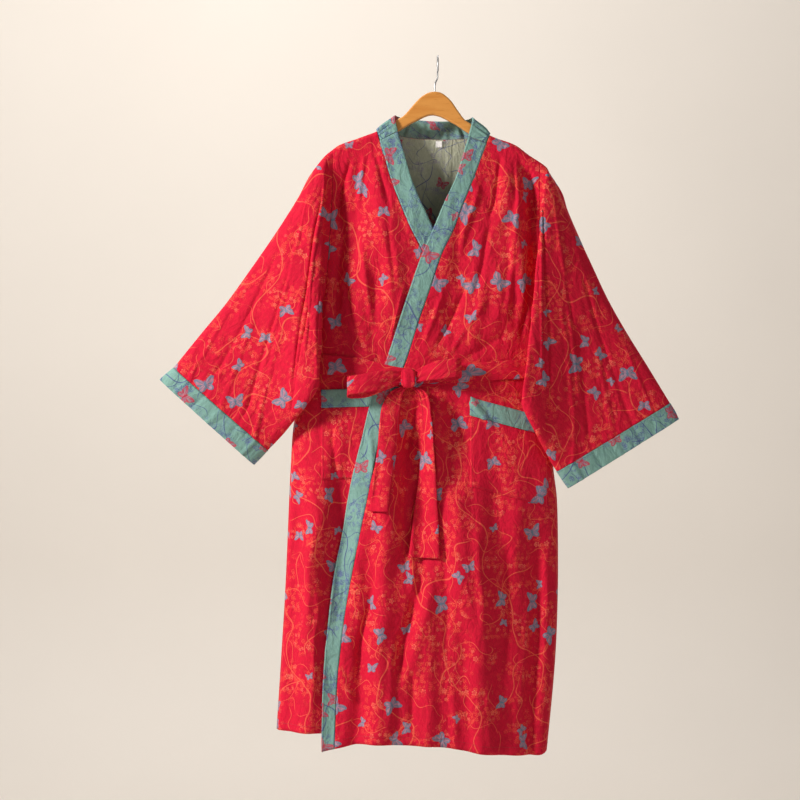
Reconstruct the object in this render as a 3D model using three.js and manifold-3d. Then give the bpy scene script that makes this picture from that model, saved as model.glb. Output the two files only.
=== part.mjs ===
// Kimono bathrobe on a wooden hanger, in millimetres.
// +Z is up, the robe's front faces -Y, and the origin is the inside top of the hanger's hook.
// Left and right in the names are the wearer's: the wearer's left is at +X.
import * as THREE from "three";
import { mergeVertices } from "three/addons/utils/BufferGeometryUtils.js";
import Module from "manifold-3d";

const wasm = await Module();
wasm.setup();

// Cloth and its layers. A layer is a pair of distances outwards from the robe's shared surface.
const WALL = 1.5;
const SEAM_GAP = 0.3;
const SEAM_HALF = 0.2;
const START_GAP = 0.4;
const PANEL = [0, WALL];
const BAND = [-0.5, 2.0];
const POCKET = [1.8, 3.3];
const POCKET_BAND = [1.8, 3.9];
const BELT = [3.2, 5.0];
const LABEL_LAYER = [-1.2, -0.4];
const UNDER_DROP = 5.2;
const UNDER_RAMP = 50;

// Heights of the main lines.
const HEM_Z = -1345;
const UNDERARM_Z = -505;
const RIDGE_RADIUS = 9;
const ARMHOLE_INSET = 10;
const ARMHOLE_TAPER = 60;
const ARMHOLE_TOP_Z = -170;
const ARMHOLE_STEPS = 10;
const ARMHOLE_CROWDING = 1.7;
const ROOT_RISE = 2;
const SEAT_BELOW = 6;
const ROOT_OUTWARD = 0.7;

// The grid that the panels share: columns round the front or back, rows down from the shoulder.
const COLUMNS = 30;
const ROW_DROPS = [
  0, 1.2, 4, 10, 25, 50, 90, 140, 200, 265, 335, 400, 460, 530, 610, 700,
  790, 880, 980, 1080, 1190,
];

// Panels are cut from the grid by outlines, which run out to here past the cloth.
const OUTSIDE_X = 330;
const ABOVE_Z = -60;
const PRISM_DEPTH = 240;
const PRISM_PAST_MIDDLE = 30;

// Top line of the shoulders, across the robe.
const SHOULDER = [
  { x: -230, z: -206 },
  { x: -205, z: -184 },
  { x: -189, z: -171 },
  { x: -156, z: -159 },
  { x: -137, z: -152 },
  { x: -116, z: -144 },
  { x: -80, z: -124 },
  { x: -5, z: -112 },
  { x: 64, z: -128 },
  { x: 100, z: -152 },
  { x: 147, z: -170 },
  { x: 173, z: -189 },
  { x: 204, z: -210 },
  { x: 225, z: -232 },
];

// Sides of the body at -X and +X, down the robe. It is cinched a little by the sash.
const SIDES = [
  { z: -100, minusX: -206, plusX: 203 },
  { z: -250, minusX: -211, plusX: 204 },
  { z: -330, minusX: -215, plusX: 203 },
  { z: -420, minusX: -221, plusX: 202 },
  { z: -505, minusX: -228, plusX: 203 },
  { z: -590, minusX: -239, plusX: 206 },
  { z: -660, minusX: -260, plusX: 211 },
  { z: -700, minusX: -273, plusX: 214 },
  { z: -784, minusX: -279, plusX: 219 },
  { z: -845, minusX: -282, plusX: 226 },
  { z: -965, minusX: -287, plusX: 228 },
  { z: -1045, minusX: -291, plusX: 227 },
  { z: -1125, minusX: -296, plusX: 224 },
  { z: -1205, minusX: -301, plusX: 218 },
  { z: -1345, minusX: -310, plusX: 204 },
];

// How far the front and the back stand out in the middle, by the drop below the shoulder.
const FULLNESS = [
  { drop: 0, front: 9, back: 9 },
  { drop: 25, front: 11, back: 13 },
  { drop: 60, front: 15, back: 19 },
  { drop: 100, front: 21, back: 26 },
  { drop: 160, front: 29, back: 33 },
  { drop: 240, front: 35, back: 38 },
  { drop: 330, front: 38, back: 40 },
  { drop: 410, front: 35, back: 37 },
  { drop: 480, front: 40, back: 41 },
  { drop: 560, front: 46, back: 46 },
  { drop: 700, front: 52, back: 51 },
  { drop: 900, front: 56, back: 55 },
  { drop: 1200, front: 60, back: 59 },
];

// The largest folds. Each runs from its top to its low end, and a negative depth is a trough.
const FRONT_FOLDS = [
  { topX: 158, topZ: -170, lowX: 176, lowZ: -330, width: 13, depth: -9 },
  { topX: 136, topZ: -165, lowX: 118, lowZ: -360, width: 15, depth: 6 },
  { topX: -148, topZ: -155, lowX: -160, lowZ: -430, width: 15, depth: -6 },
  { topX: -180, topZ: -165, lowX: -198, lowZ: -560, width: 14, depth: -8 },
  { topX: -122, topZ: -150, lowX: -104, lowZ: -400, width: 15, depth: 5 },
  { topX: 62, topZ: -300, lowX: 10, lowZ: -570, width: 20, depth: -6 },
  { topX: 120, topZ: -380, lowX: 98, lowZ: -545, width: 18, depth: 5 },
  { topX: -112, topZ: -380, lowX: -130, lowZ: -575, width: 17, depth: -6 },
  { topX: -44, topZ: -630, lowX: -34, lowZ: -1010, width: 19, depth: -13 },
  { topX: 24, topZ: -640, lowX: 42, lowZ: -1120, width: 21, depth: 9 },
  { topX: 92, topZ: -640, lowX: 108, lowZ: -1345, width: 21, depth: -10 },
  { topX: 148, topZ: -760, lowX: 150, lowZ: -1345, width: 18, depth: 7 },
  { topX: 188, topZ: -860, lowX: 178, lowZ: -1345, width: 14, depth: -7 },
  { topX: -228, topZ: -720, lowX: -262, lowZ: -1345, width: 16, depth: -8 },
  { topX: -118, topZ: -860, lowX: -158, lowZ: -1345, width: 16, depth: -8 },
  { topX: -84, topZ: -680, lowX: -108, lowZ: -1345, width: 17, depth: 7 },
  { topX: -12, topZ: -1010, lowX: -20, lowZ: -1345, width: 17, depth: 7 },
  { topX: 48, topZ: -1060, lowX: 60, lowZ: -1345, width: 15, depth: -6 },
];
const BACK_FOLDS = [
  { topX: -150, topZ: -160, lowX: -165, lowZ: -520, width: 17, depth: -8 },
  { topX: 142, topZ: -170, lowX: 128, lowZ: -560, width: 18, depth: -7 },
  { topX: -70, topZ: -200, lowX: -84, lowZ: -570, width: 21, depth: 6 },
  { topX: 40, topZ: -230, lowX: 30, lowZ: -570, width: 19, depth: -6 },
  { topX: -190, topZ: -640, lowX: -214, lowZ: -1345, width: 19, depth: -9 },
  { topX: -118, topZ: -630, lowX: -132, lowZ: -1345, width: 20, depth: 9 },
  { topX: -52, topZ: -640, lowX: -40, lowZ: -1345, width: 18, depth: -11 },
  { topX: 16, topZ: -660, lowX: 30, lowZ: -1345, width: 21, depth: 8 },
  { topX: 84, topZ: -640, lowX: 96, lowZ: -1345, width: 18, depth: -9 },
  { topX: 150, topZ: -700, lowX: 160, lowZ: -1345, width: 17, depth: 7 },
];

// Edges of the two front bands, down the robe: each has a free edge and a seam to its front.
const BANDS = [
  { z: -142, topFree: 62, topSeam: 103, underFree: -77, underSeam: -116.5 },
  { z: -163, topFree: 55.5, topSeam: 94, underFree: -71, underSeam: -110.5 },
  { z: -190, topFree: 47.5, topSeam: 84, underFree: -63, underSeam: -102.5 },
  { z: -231, topFree: 35, topSeam: 68.5, underFree: -51.5, underSeam: -91 },
  { z: -276, topFree: 14, topSeam: 50.7, underFree: -34, underSeam: -74.5 },
  { z: -329, topFree: -8.6, topSeam: 30.6, underFree: -8.6, underSeam: -52 },
  { z: -378, topFree: -30, topSeam: 7.2, underFree: 12, underSeam: -28 },
  { z: -437, topFree: -51, topSeam: -12.6, underFree: 28, underSeam: -10 },
  { z: -500, topFree: -72, topSeam: -34.6, underFree: 42, underSeam: 4 },
  { z: -586, topFree: -100, topSeam: -62, underFree: 58, underSeam: 20.5 },
  { z: -656, topFree: -126.5, topSeam: -92, underFree: 72, underSeam: 35 },
  { z: -731, topFree: -145, topSeam: -111, underFree: 84, underSeam: 47 },
  { z: -807, topFree: -163, topSeam: -126, underFree: 95, underSeam: 58 },
  { z: -922, topFree: -184, topSeam: -150, underFree: 108, underSeam: 71.5 },
  { z: -986, topFree: -197, topSeam: -162.5, underFree: 112, underSeam: 76 },
  { z: -1070, topFree: -207, topSeam: -177, underFree: 117, underSeam: 81 },
  { z: -1186, topFree: -217, topSeam: -190, underFree: 122, underSeam: 86 },
  { z: -1345, topFree: -220, topSeam: -196, underFree: 125, underSeam: 89 },
];

// Seam across each front band at the shoulder, where the neck's own band starts.
const BAND_START = {
  top: { seamX: 92.8, seamZ: -166, freeX: 57, freeZ: -154 },
  under: { seamX: -110.8, seamZ: -162, freeX: -76, freeZ: -144 },
};

// The standing neckband: its seam edge and free edge from the under front round to the top front.
const NECKBAND = [
  { seamX: -109.6, seamY: -11, seamZ: -161, freeX: -76, freeY: -11.5, freeZ: -143 },
  { seamX: -114.2, seamY: -7, seamZ: -147, freeX: -81, freeY: -9, freeZ: -122 },
  { seamX: -115.8, seamY: 0, seamZ: -140, freeX: -81, freeY: -2, freeZ: -113 },
  { seamX: -108, seamY: 13, seamZ: -141, freeX: -76, freeY: 18, freeZ: -112 },
  { seamX: -84, seamY: 23, seamZ: -147, freeX: -62, freeY: 33, freeZ: -113 },
  { seamX: -46, seamY: 28, seamZ: -153, freeX: -37, freeY: 38, freeZ: -116 },
  { seamX: -5, seamY: 30, seamZ: -155, freeX: -5, freeY: 40, freeZ: -118 },
  { seamX: 36, seamY: 28, seamZ: -155, freeX: 28, freeY: 38, freeZ: -118 },
  { seamX: 72, seamY: 23, seamZ: -153, freeX: 50, freeY: 33, freeZ: -117 },
  { seamX: 93, seamY: 13, seamZ: -150, freeX: 62, freeY: 18, freeZ: -116 },
  { seamX: 98.8, seamY: 0, seamZ: -148.5, freeX: 66, freeY: -2, freeZ: -117 },
  { seamX: 96.4, seamY: -7, seamZ: -154, freeX: 64, freeY: -9, freeZ: -130 },
  { seamX: 92, seamY: -11, seamZ: -165, freeX: 57.5, freeY: -11.5, freeZ: -153 },
];

// Sleeves, from the armhole out to the cuff's seam. Each row is one ring of the tube.
const SLEEVE_RIGHT = [
  { topX: -211, topZ: -188, lowX: -243, lowY: -8, lowZ: -532, front: 22, back: 20, frontIn: 3, backOut: -4 },
  { topX: -222, topZ: -200, lowX: -228, lowY: -46, lowZ: -600, front: 34, back: 24, frontIn: 6, backOut: -14 },
  { topX: -243, topZ: -229, lowX: -224, lowY: -58, lowZ: -624, front: 39, back: 30, frontIn: 0, backOut: -22 },
  { topX: -263, topZ: -267, lowX: -232, lowY: -58, lowZ: -642, front: 40, back: 32, frontIn: 0, backOut: -20 },
  { topX: -292, topZ: -314, lowX: -247, lowY: -54, lowZ: -663, front: 40, back: 32, frontIn: 0, backOut: -12 },
  { topX: -322, topZ: -359, lowX: -260, lowY: -46, lowZ: -679, front: 37, back: 30, frontIn: 0, backOut: -6 },
  { topX: -362, topZ: -416, lowX: -276, lowY: -34, lowZ: -697, front: 31, back: 26, frontIn: 0, backOut: 0 },
  { topX: -404, topZ: -474, lowX: -292, lowY: -22, lowZ: -716, front: 28, back: 24, frontIn: 0, backOut: 0 },
  { topX: -452, topZ: -532, lowX: -308, lowY: -12, lowZ: -733, front: 25, back: 22, frontIn: 0, backOut: 0 },
  { topX: -502, topZ: -594, lowX: -324, lowY: -6, lowZ: -749, front: 23, back: 20, frontIn: 0, backOut: 0 },
];
const SLEEVE_LEFT = [
  { topX: 207, topZ: -213, lowX: 217, lowY: -8, lowZ: -532, front: 22, back: 20, frontIn: -6, backOut: 4 },
  { topX: 212, topZ: -224, lowX: 176, lowY: -50, lowZ: -618, front: 36, back: 24, frontIn: -10, backOut: 26 },
  { topX: 224, topZ: -247, lowX: 157, lowY: -66, lowZ: -657, front: 40, back: 27, frontIn: -4, backOut: 42 },
  { topX: 240, topZ: -286, lowX: 164, lowY: -66, lowZ: -681, front: 39, back: 28, frontIn: 0, backOut: 36 },
  { topX: 264, topZ: -338, lowX: 176, lowY: -62, lowZ: -703, front: 37, back: 28, frontIn: 0, backOut: 26 },
  { topX: 291, topZ: -396, lowX: 187, lowY: -54, lowZ: -723, front: 35, back: 27, frontIn: 0, backOut: 16 },
  { topX: 322, topZ: -462, lowX: 197, lowY: -44, lowZ: -741, front: 32, back: 26, frontIn: 0, backOut: 8 },
  { topX: 358, topZ: -526, lowX: 207, lowY: -36, lowZ: -758, front: 29, back: 24, frontIn: 0, backOut: 2 },
  { topX: 399, topZ: -592, lowX: 216, lowY: -28, lowZ: -774, front: 26, back: 22, frontIn: 0, backOut: 0 },
  { topX: 441, topZ: -661, lowX: 226, lowY: -22, lowZ: -789, front: 23, back: 20, frontIn: 0, backOut: 0 },
];
const CUFF_RIGHT = [
  { topX: -502.4, topZ: -594.5, lowX: -324.4, lowY: -6, lowZ: -749.5, front: 23, back: 20, frontIn: 0, backOut: 0 },
  { topX: -517, topZ: -606, lowX: -338, lowY: -5, lowZ: -764, front: 22, back: 20, frontIn: 0, backOut: 0 },
  { topX: -529, topZ: -617, lowX: -351, lowY: -4, lowZ: -777, front: 21, back: 20, frontIn: 0, backOut: 0 },
];
const CUFF_LEFT = [
  { topX: 441.4, topZ: -661.5, lowX: 226.4, lowY: -22, lowZ: -789.6, front: 23, back: 20, frontIn: 0, backOut: 0 },
  { topX: 451, topZ: -677, lowX: 237, lowY: -19, lowZ: -806, front: 22, back: 20, frontIn: 0, backOut: 0 },
  { topX: 458, topZ: -692, lowX: 248, lowY: -16, lowZ: -821, front: 21, back: 20, frontIn: 0, backOut: 0 },
];
const SLEEVE_SIDE_STEPS = 12;
const SLEEVE_SAG = 1.6;
const SLEEVE_SQUARENESS = 0.62;
const CUFF_WALL = 2.0;
const BODY_CLEARANCE = 13;
const FRONT_CLEARANCE = 5;
const CLEARANCE_STARTS = UNDERARM_Z + 15;
const CLEARANCE_FADE = 4;

// Sash: the stretch round the waist, and the ends that hang from the knot.
const BELT_LINE = [
  { x: -250, top: -566, low: -604 },
  { x: -160, top: -574, low: -612 },
  { x: -72, top: -594, low: -631 },
  { x: -30, top: -594, low: -631 },
  { x: 44, top: -587, low: -622 },
  { x: 164, top: -578, low: -615 },
  { x: 215, top: -575, low: -612 },
];
const BELT_BACK_LINE = [
  { x: -250, top: -566, low: -604 },
  { x: 215, top: -575, low: -612 },
];
const KNOT = { x: -56, z: -614, halfX: 17, halfY: 9, halfZ: 19, standOff: 15 };
const TAIL_RIGHT = [
  { z: -627, from: -67, to: -57, off: 11 },
  { z: -642, from: -92, to: -66, off: 10 },
  { z: -668, from: -106, to: -70, off: 9 },
  { z: -705, from: -111, to: -74, off: 9 },
  { z: -745, from: -114, to: -77, off: 9 },
  { z: -800, from: -122, to: -86, off: 8 },
  { z: -864, from: -129, to: -94, off: 8 },
];
const TAIL_LEFT = [
  { z: -627, from: -54, to: -46, off: 11 },
  { z: -645, from: -38, to: -20, off: 12 },
  { z: -690, from: -35, to: -14, off: 12 },
  { z: -740, from: -40, to: -8, off: 11 },
  { z: -800, from: -46, to: -4, off: 10 },
  { z: -870, from: -52, to: -6, off: 10 },
  { z: -952, from: -57, to: -9, off: 9 },
];
const LOOP_RIGHT = [
  { x: -58, out: 20, top: -606, low: -622 },
  { x: -78, out: 24, top: -600, low: -624 },
  { x: -112, out: 31, top: -601, low: -637 },
  { x: -146, out: 34, top: -607, low: -643 },
  { x: -165, out: 30, top: -611, low: -645 },
  { x: -170, out: 22, top: -612, low: -644 },
  { x: -160, out: 14, top: -610, low: -643 },
  { x: -130, out: 11, top: -605, low: -639 },
  { x: -92, out: 11, top: -601, low: -629 },
  { x: -60, out: 12, top: -606, low: -622 },
];
const LOOP_LEFT = [
  { x: -54, out: 20, top: -606, low: -622 },
  { x: -34, out: 24, top: -595, low: -620 },
  { x: -4, out: 31, top: -582, low: -617 },
  { x: 24, out: 33, top: -578, low: -614 },
  { x: 38, out: 29, top: -577, low: -612 },
  { x: 42, out: 22, top: -578, low: -613 },
  { x: 34, out: 14, top: -581, low: -617 },
  { x: 6, out: 11, top: -586, low: -621 },
  { x: -26, out: 11, top: -598, low: -624 },
  { x: -52, out: 12, top: -606, low: -622 },
];
const RIBBON = 2.0;
const RIBBON_SHARES = [0, 0.33, 0.67, 1];
const LOOP_BOW = 2.5;
const LOOP_BOW_STARTS = 40;

// Pockets, by the corners of their top bands and their depth.
const POCKET_ON_UNDER = { from: -221, to: -71, fromTop: -636, toTop: -631, bandDeep: 34, deep: 170 };
const POCKET_ON_TOP = { from: 60, to: 208, fromTop: -650, toTop: -690, bandDeep: 34, deep: 168 };
const LABEL = { from: -3.6, to: 9.4, top: -159, low: -171 };

// Hanger: the outline of its wooden bar, then its wire hook.
const BAR_THICK = 12;
const BAR_BEVEL = 3.5;
const BAR_TIPS = [
  [-196, -192],
  [194, -212],
];
const BAR_UNDER_CLOTH = 1.3;
const BAR_PLUS_X_LOWER = 0.6;
const BAR_TOP_MINUS_X = [-192, -180, -166, -152, -136];
const BAR_TOP_PLUS_X = [110, 122, 140, 158, 174, 188];
const BAR_HUMP = [
  { x: -117, z: -151 },
  { x: -100, z: -138 },
  { x: -81, z: -122 },
  { x: -65, z: -113 },
  { x: -48, z: -94 },
  { x: -33, z: -78 },
  { x: -18, z: -69 },
  { x: -5.5, z: -67 },
  { x: 8, z: -70 },
  { x: 25, z: -84 },
  { x: 39, z: -104 },
  { x: 52, z: -121 },
  { x: 64, z: -129 },
  { x: 84, z: -146 },
  { x: 97, z: -155 },
];
const BAR_UNDERSIDE = [
  { x: 182, z: -220 },
  { x: 150, z: -206 },
  { x: 110, z: -178 },
  { x: 62, z: -149 },
  { x: 28, z: -127 },
  { x: -9, z: -112 },
  { x: -42, z: -124 },
  { x: -76, z: -144 },
  { x: -120, z: -172 },
  { x: -158, z: -190 },
  { x: -184, z: -202 },
];
const WIRE = 3;
const HOOK_RADIUS = 19;
const HOOK_TIP_ANGLE = -35;
const HOOK_ARC_STEPS = 12;
const HOOK_SHANK = [
  { x: 0, y: 18.5, z: -28 },
  { x: 0, y: 11, z: -37 },
  { x: -1.5, y: 3.5, z: -43 },
  { x: -4.5, y: 0.3, z: -50 },
  { x: -5.5, y: 0, z: -57 },
  { x: -5.5, y: 0, z: -66.6 },
];

// A value at one place along a table, smooth between its rows.
function along(table, key, at, column) {
  const rising = table[table.length - 1][key] > table[0][key];
  const rows = rising ? table : [...table].reverse();
  const last = rows.length - 1;
  if (at <= rows[0][key]) return rows[0][column];
  if (at >= rows[last][key]) return rows[last][column];
  let i = 0;
  while (rows[i + 1][key] < at) i += 1;
  const slope = (a, b) =>
    (rows[b][column] - rows[a][column]) / (rows[b][key] - rows[a][key]);
  const span = rows[i + 1][key] - rows[i][key];
  const t = (at - rows[i][key]) / span;
  const startSlope = slope(Math.max(i - 1, 0), i + 1);
  const endSlope = slope(i, Math.min(i + 2, last));
  return (
    rows[i][column] * (2 * t ** 3 - 3 * t ** 2 + 1) +
    rows[i + 1][column] * (3 * t ** 2 - 2 * t ** 3) +
    span * startSlope * (t ** 3 - 2 * t ** 2 + t) +
    span * endSlope * (t ** 3 - t ** 2)
  );
}

const mix = THREE.MathUtils.lerp;
const smooth = (from, to, value) =>
  from < to
    ? THREE.MathUtils.smoothstep(value, from, to)
    : 1 - THREE.MathUtils.smoothstep(value, to, from);

// The robe's surface: how far the cloth stands out from the middle plane at x, z.
function standOut(facing, x, z) {
  const left = along(SIDES, "z", z, "minusX");
  const right = along(SIDES, "z", z, "plusX");
  const drop = Math.max(along(SHOULDER, "x", x, "z") - z, 0);
  const across = (2 * x - left - right) / (right - left);
  const inside = Math.max(1 - across ** 2, 0);
  const power = mix(0.1, 0.38, smooth(0, 200, drop));
  const full = along(FULLNESS, "drop", drop, facing < 0 ? "front" : "back");
  const ridgeDrop = Math.min(drop, RIDGE_RADIUS);
  const ridge = Math.sqrt(RIDGE_RADIUS ** 2 - (RIDGE_RADIUS - ridgeDrop) ** 2);
  const base = (ridge / RIDGE_RADIUS) * full * inside ** power;
  return base + foldsAt(facing, x, z) * Math.min(1, 4 * inside) * smooth(5, 70, drop);
}

function foldsAt(facing, x, z) {
  let sum = 0;
  for (const fold of facing < 0 ? FRONT_FOLDS : BACK_FOLDS) {
    const t = (fold.topZ - z) / (fold.topZ - fold.lowZ);
    const start = smooth(0, 0.3, t);
    const end = fold.lowZ > HEM_Z ? smooth(1, 0.7, t) : 1;
    const off = (x - mix(fold.topX, fold.lowX, THREE.MathUtils.clamp(t, 0, 1))) / fold.width;
    sum += fold.depth * start * end * Math.exp(-(off ** 2));
  }
  return sum;
}

// One grid of points on the front or back, with a normal at each point.
function panelGrid(facing) {
  const point = (column, row) => {
    const reach = Math.sin(((column / COLUMNS) * 2 - 1) * (Math.PI / 2));
    let x = 0;
    let z = 0;
    for (let pass = 0; pass < 6; pass += 1) {
      const top = along(SHOULDER, "x", x, "z");
      z = mix(top, HEM_Z, ROW_DROPS[row] / ROW_DROPS[ROW_DROPS.length - 1]);
      const left = along(SIDES, "z", z, "minusX");
      const right = along(SIDES, "z", z, "plusX");
      x = (left + right) / 2 + ((right - left) / 2) * reach;
    }
    const out = row === 0 || Math.abs(reach) > 0.9999 ? 0 : standOut(facing, x, z);
    return new THREE.Vector3(x, facing * (out + SEAM_GAP / 2), z);
  };
  const points = ROW_DROPS.map((_, row) =>
    Array.from({ length: COLUMNS + 1 }, (_, column) => point(column, row)),
  );
  // Past the shoulder line and the side seams the other panel goes on, mirrored.
  const mirrored = (p) => new THREE.Vector3(p.x, -p.y, p.z);
  const at = (row, column) => {
    if (row < 0) return mirrored(points[1][column]);
    if (column < 0) return mirrored(points[row][1]);
    if (column > COLUMNS) return mirrored(points[row][COLUMNS - 1]);
    return points[Math.min(row, points.length - 1)][column];
  };
  const normals = points.map((line, row) =>
    line.map((_, column) => {
      const across = at(row, column + 1).clone().sub(at(row, column - 1));
      const down = at(row + 1, column).clone().sub(at(row - 1, column));
      return down.cross(across).normalize().multiplyScalar(-facing);
    }),
  );
  return { facing, points, normals };
}

// Joins two grids of points, an outer and an inner, into one closed wall.
function wall(outer, inner, round = false) {
  const rows = outer.length;
  const columns = outer[0].length;
  const positions = [];
  const faces = [];
  for (const side of [outer, inner])
    for (const line of side) for (const p of line) positions.push(p.x, p.y, p.z);
  const index = (side, row, column) =>
    side * rows * columns + row * columns + (column % columns);
  const quad = (a, b, c, d) => faces.push(a, b, c, a, c, d);
  const turnedQuad = (a, b, c, d) => faces.push(a, c, b, a, d, c);
  const spans = round ? columns : columns - 1;
  for (let row = 0; row < rows - 1; row += 1)
    for (let column = 0; column < spans; column += 1) {
      const corners = (side) => [
        index(side, row, column),
        index(side, row + 1, column),
        index(side, row + 1, column + 1),
        index(side, row, column + 1),
      ];
      quad(...corners(0));
      turnedQuad(...corners(1));
    }
  for (let column = 0; column < spans; column += 1) {
    quad(index(0, 0, column + 1), index(1, 0, column + 1), index(1, 0, column), index(0, 0, column));
    quad(
      index(0, rows - 1, column),
      index(1, rows - 1, column),
      index(1, rows - 1, column + 1),
      index(0, rows - 1, column + 1),
    );
  }
  for (let row = 0; row < rows - 1 && !round; row += 1) {
    quad(index(0, row, 0), index(1, row, 0), index(1, row + 1, 0), index(0, row + 1, 0));
    quad(
      index(0, row + 1, columns - 1),
      index(1, row + 1, columns - 1),
      index(1, row, columns - 1),
      index(0, row, columns - 1),
    );
  }
  const geometry = new THREE.BufferGeometry();
  geometry.setAttribute("position", new THREE.Float32BufferAttribute(positions, 3));
  geometry.setIndex(faces);
  return facingOut(geometry);
}

// Turns the faces round where they enclose a negative volume.
function facingOut(geometry) {
  const p = geometry.getAttribute("position");
  const faces = geometry.getIndex().array;
  const corner = (i) => new THREE.Vector3().fromBufferAttribute(p, faces[i]);
  let volume = 0;
  for (let i = 0; i < faces.length; i += 3)
    volume += corner(i).dot(corner(i + 1).cross(corner(i + 2)));
  if (volume < 0) {
    const turned = [];
    for (let i = 0; i < faces.length; i += 3) turned.push(faces[i], faces[i + 2], faces[i + 1]);
    geometry.setIndex(turned);
  }
  return geometry;
}

function solid(geometry) {
  const bare = geometry.clone();
  bare.deleteAttribute("normal");
  bare.deleteAttribute("uv");
  const merged = mergeVertices(bare, 1e-4);
  return new wasm.Manifold(
    new wasm.Mesh({
      numProp: 3,
      vertProperties: merged.getAttribute("position").array,
      triVerts: new Uint32Array(merged.getIndex().array),
    }),
  );
}

function geometryOf(body) {
  const mesh = body.getMesh();
  const geometry = new THREE.BufferGeometry();
  geometry.setAttribute("position", new THREE.BufferAttribute(mesh.vertProperties, 3));
  geometry.setIndex(new THREE.BufferAttribute(mesh.triVerts, 1));
  geometry.computeVertexNormals();
  return geometry;
}

// The part of a grid's layer that lies inside an outline drawn in x and z.
function layer(grid, [low, high], outline, shift = () => 0) {
  const moved = (distance) =>
    grid.points.map((line, row) =>
      line.map((p, column) =>
        p.clone().addScaledVector(grid.normals[row][column], distance + shift(p.x, p.z)),
      ),
    );
  const sheet = solid(wall(moved(high), moved(low)));
  return geometryOf(sheet.intersect(prism(grid.facing, outline)));
}

// A block with the outline's shape, reaching from the middle plane out past the cloth.
function prism(facing, outline) {
  const shape = new THREE.Shape(outline.map(([x, z]) => new THREE.Vector2(x, z)));
  const geometry = new THREE.ExtrudeGeometry(shape, { depth: PRISM_DEPTH, bevelEnabled: false });
  geometry.rotateX(Math.PI / 2);
  geometry.translate(0, facing < 0 ? PRISM_PAST_MIDDLE : PRISM_DEPTH - PRISM_PAST_MIDDLE, 0);
  return solid(geometry);
}

// Edge of the armhole on one side, and points down a band's edge.
function armholeX(side, z) {
  const edge = along(SIDES, "z", z, side);
  const taper = THREE.MathUtils.clamp((z - UNDERARM_Z) / ARMHOLE_TAPER, 0, 1);
  return edge - Math.sign(edge) * ARMHOLE_INSET * taper;
}
function armholeOutline(side) {
  const outside = side === "minusX" ? -OUTSIDE_X : OUTSIDE_X;
  const points = [[armholeX(side, ARMHOLE_TOP_Z), ABOVE_Z]];
  for (let step = 0; step <= ARMHOLE_STEPS; step += 1) {
    const down = 1 - (1 - step / ARMHOLE_STEPS) ** ARMHOLE_CROWDING;
    const z = mix(ARMHOLE_TOP_Z, UNDERARM_Z - SEAT_BELOW, down);
    points.push([armholeX(side, z), z]);
  }
  points.push([outside, UNDERARM_Z - SEAT_BELOW]);
  return points;
}
const bandEdge = (column, fromZ, toZ, move = 0) =>
  BANDS.filter((row) => row.z < fromZ && row.z > toZ).map((row) => [row[column] + move, row.z]);

// Where the top front lies over the under front, the under front lies deeper.
const underShift = (x, z) => {
  const edge = along(BANDS, "z", z, "topFree");
  return -UNDER_DROP * smooth(edge - UNDER_RAMP, edge - 4, x);
};

// One ring of a sleeve, front from top to low, then back from low to top.
function sleeveRing(row, side, squareness) {
  const ring = [];
  for (const facing of [-1, 1])
    for (let step = 0; step < SLEEVE_SIDE_STEPS; step += 1) {
      const turn = (step / SLEEVE_SIDE_STEPS) * Math.PI;
      const u = facing < 0 ? (1 - Math.cos(turn)) / 2 : (1 + Math.cos(turn)) / 2;
      const belly = Math.sin(turn);
      const round = belly ** squareness;
      const x = mix(row.topX, row.lowX, u) + (facing < 0 ? row.frontIn : row.backOut) * belly;
      const z = mix(row.topZ, row.lowZ, u);
      const y = row.lowY * u ** SLEEVE_SAG + facing * (facing < 0 ? row.front : row.back) * round;
      ring.push(new THREE.Vector3(x, clearOfBody(side, facing, x, y, z), z));
    }
  return ring;
}

// Below the underarm both layers hang in front of the body; above it only the front layer does.
function clearOfBody(side, facing, x, y, z) {
  if (facing > 0 && z > CLEARANCE_STARTS) return y;
  const edge = z > UNDERARM_Z ? armholeX(side, z) : along(SIDES, "z", z, side);
  const inside = side === "minusX" ? x - edge : edge - x;
  const margin = z > UNDERARM_Z ? FRONT_CLEARANCE : BODY_CLEARANCE;
  const depth = inside > 0 ? standOut(-1, x, z) : 0;
  const limit = -(depth + margin) + CLEARANCE_FADE * Math.max(-inside, 0);
  return Math.min(y, limit);
}

// The first ring of a sleeve runs along the edge of the armhole.
function rootRing(side) {
  const outward = side === "minusX" ? -ROOT_OUTWARD : ROOT_OUTWARD;
  const ring = [];
  let topZ = -180;
  for (let pass = 0; pass < 8; pass += 1)
    topZ = along(SHOULDER, "x", armholeX(side, topZ) + outward, "z");
  for (const facing of [-1, 1])
    for (let step = 0; step < SLEEVE_SIDE_STEPS; step += 1) {
      const turn = (step / SLEEVE_SIDE_STEPS) * Math.PI;
      const u = facing < 0 ? (1 - Math.cos(turn)) / 2 : (1 + Math.cos(turn)) / 2;
      const z = mix(topZ, UNDERARM_Z + ROOT_RISE, u);
      const x = armholeX(side, z);
      const y = step === 0 ? 0 : facing * standOut(facing, x, z);
      ring.push(new THREE.Vector3(x + outward, y, z));
    }
  return ring;
}

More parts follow.
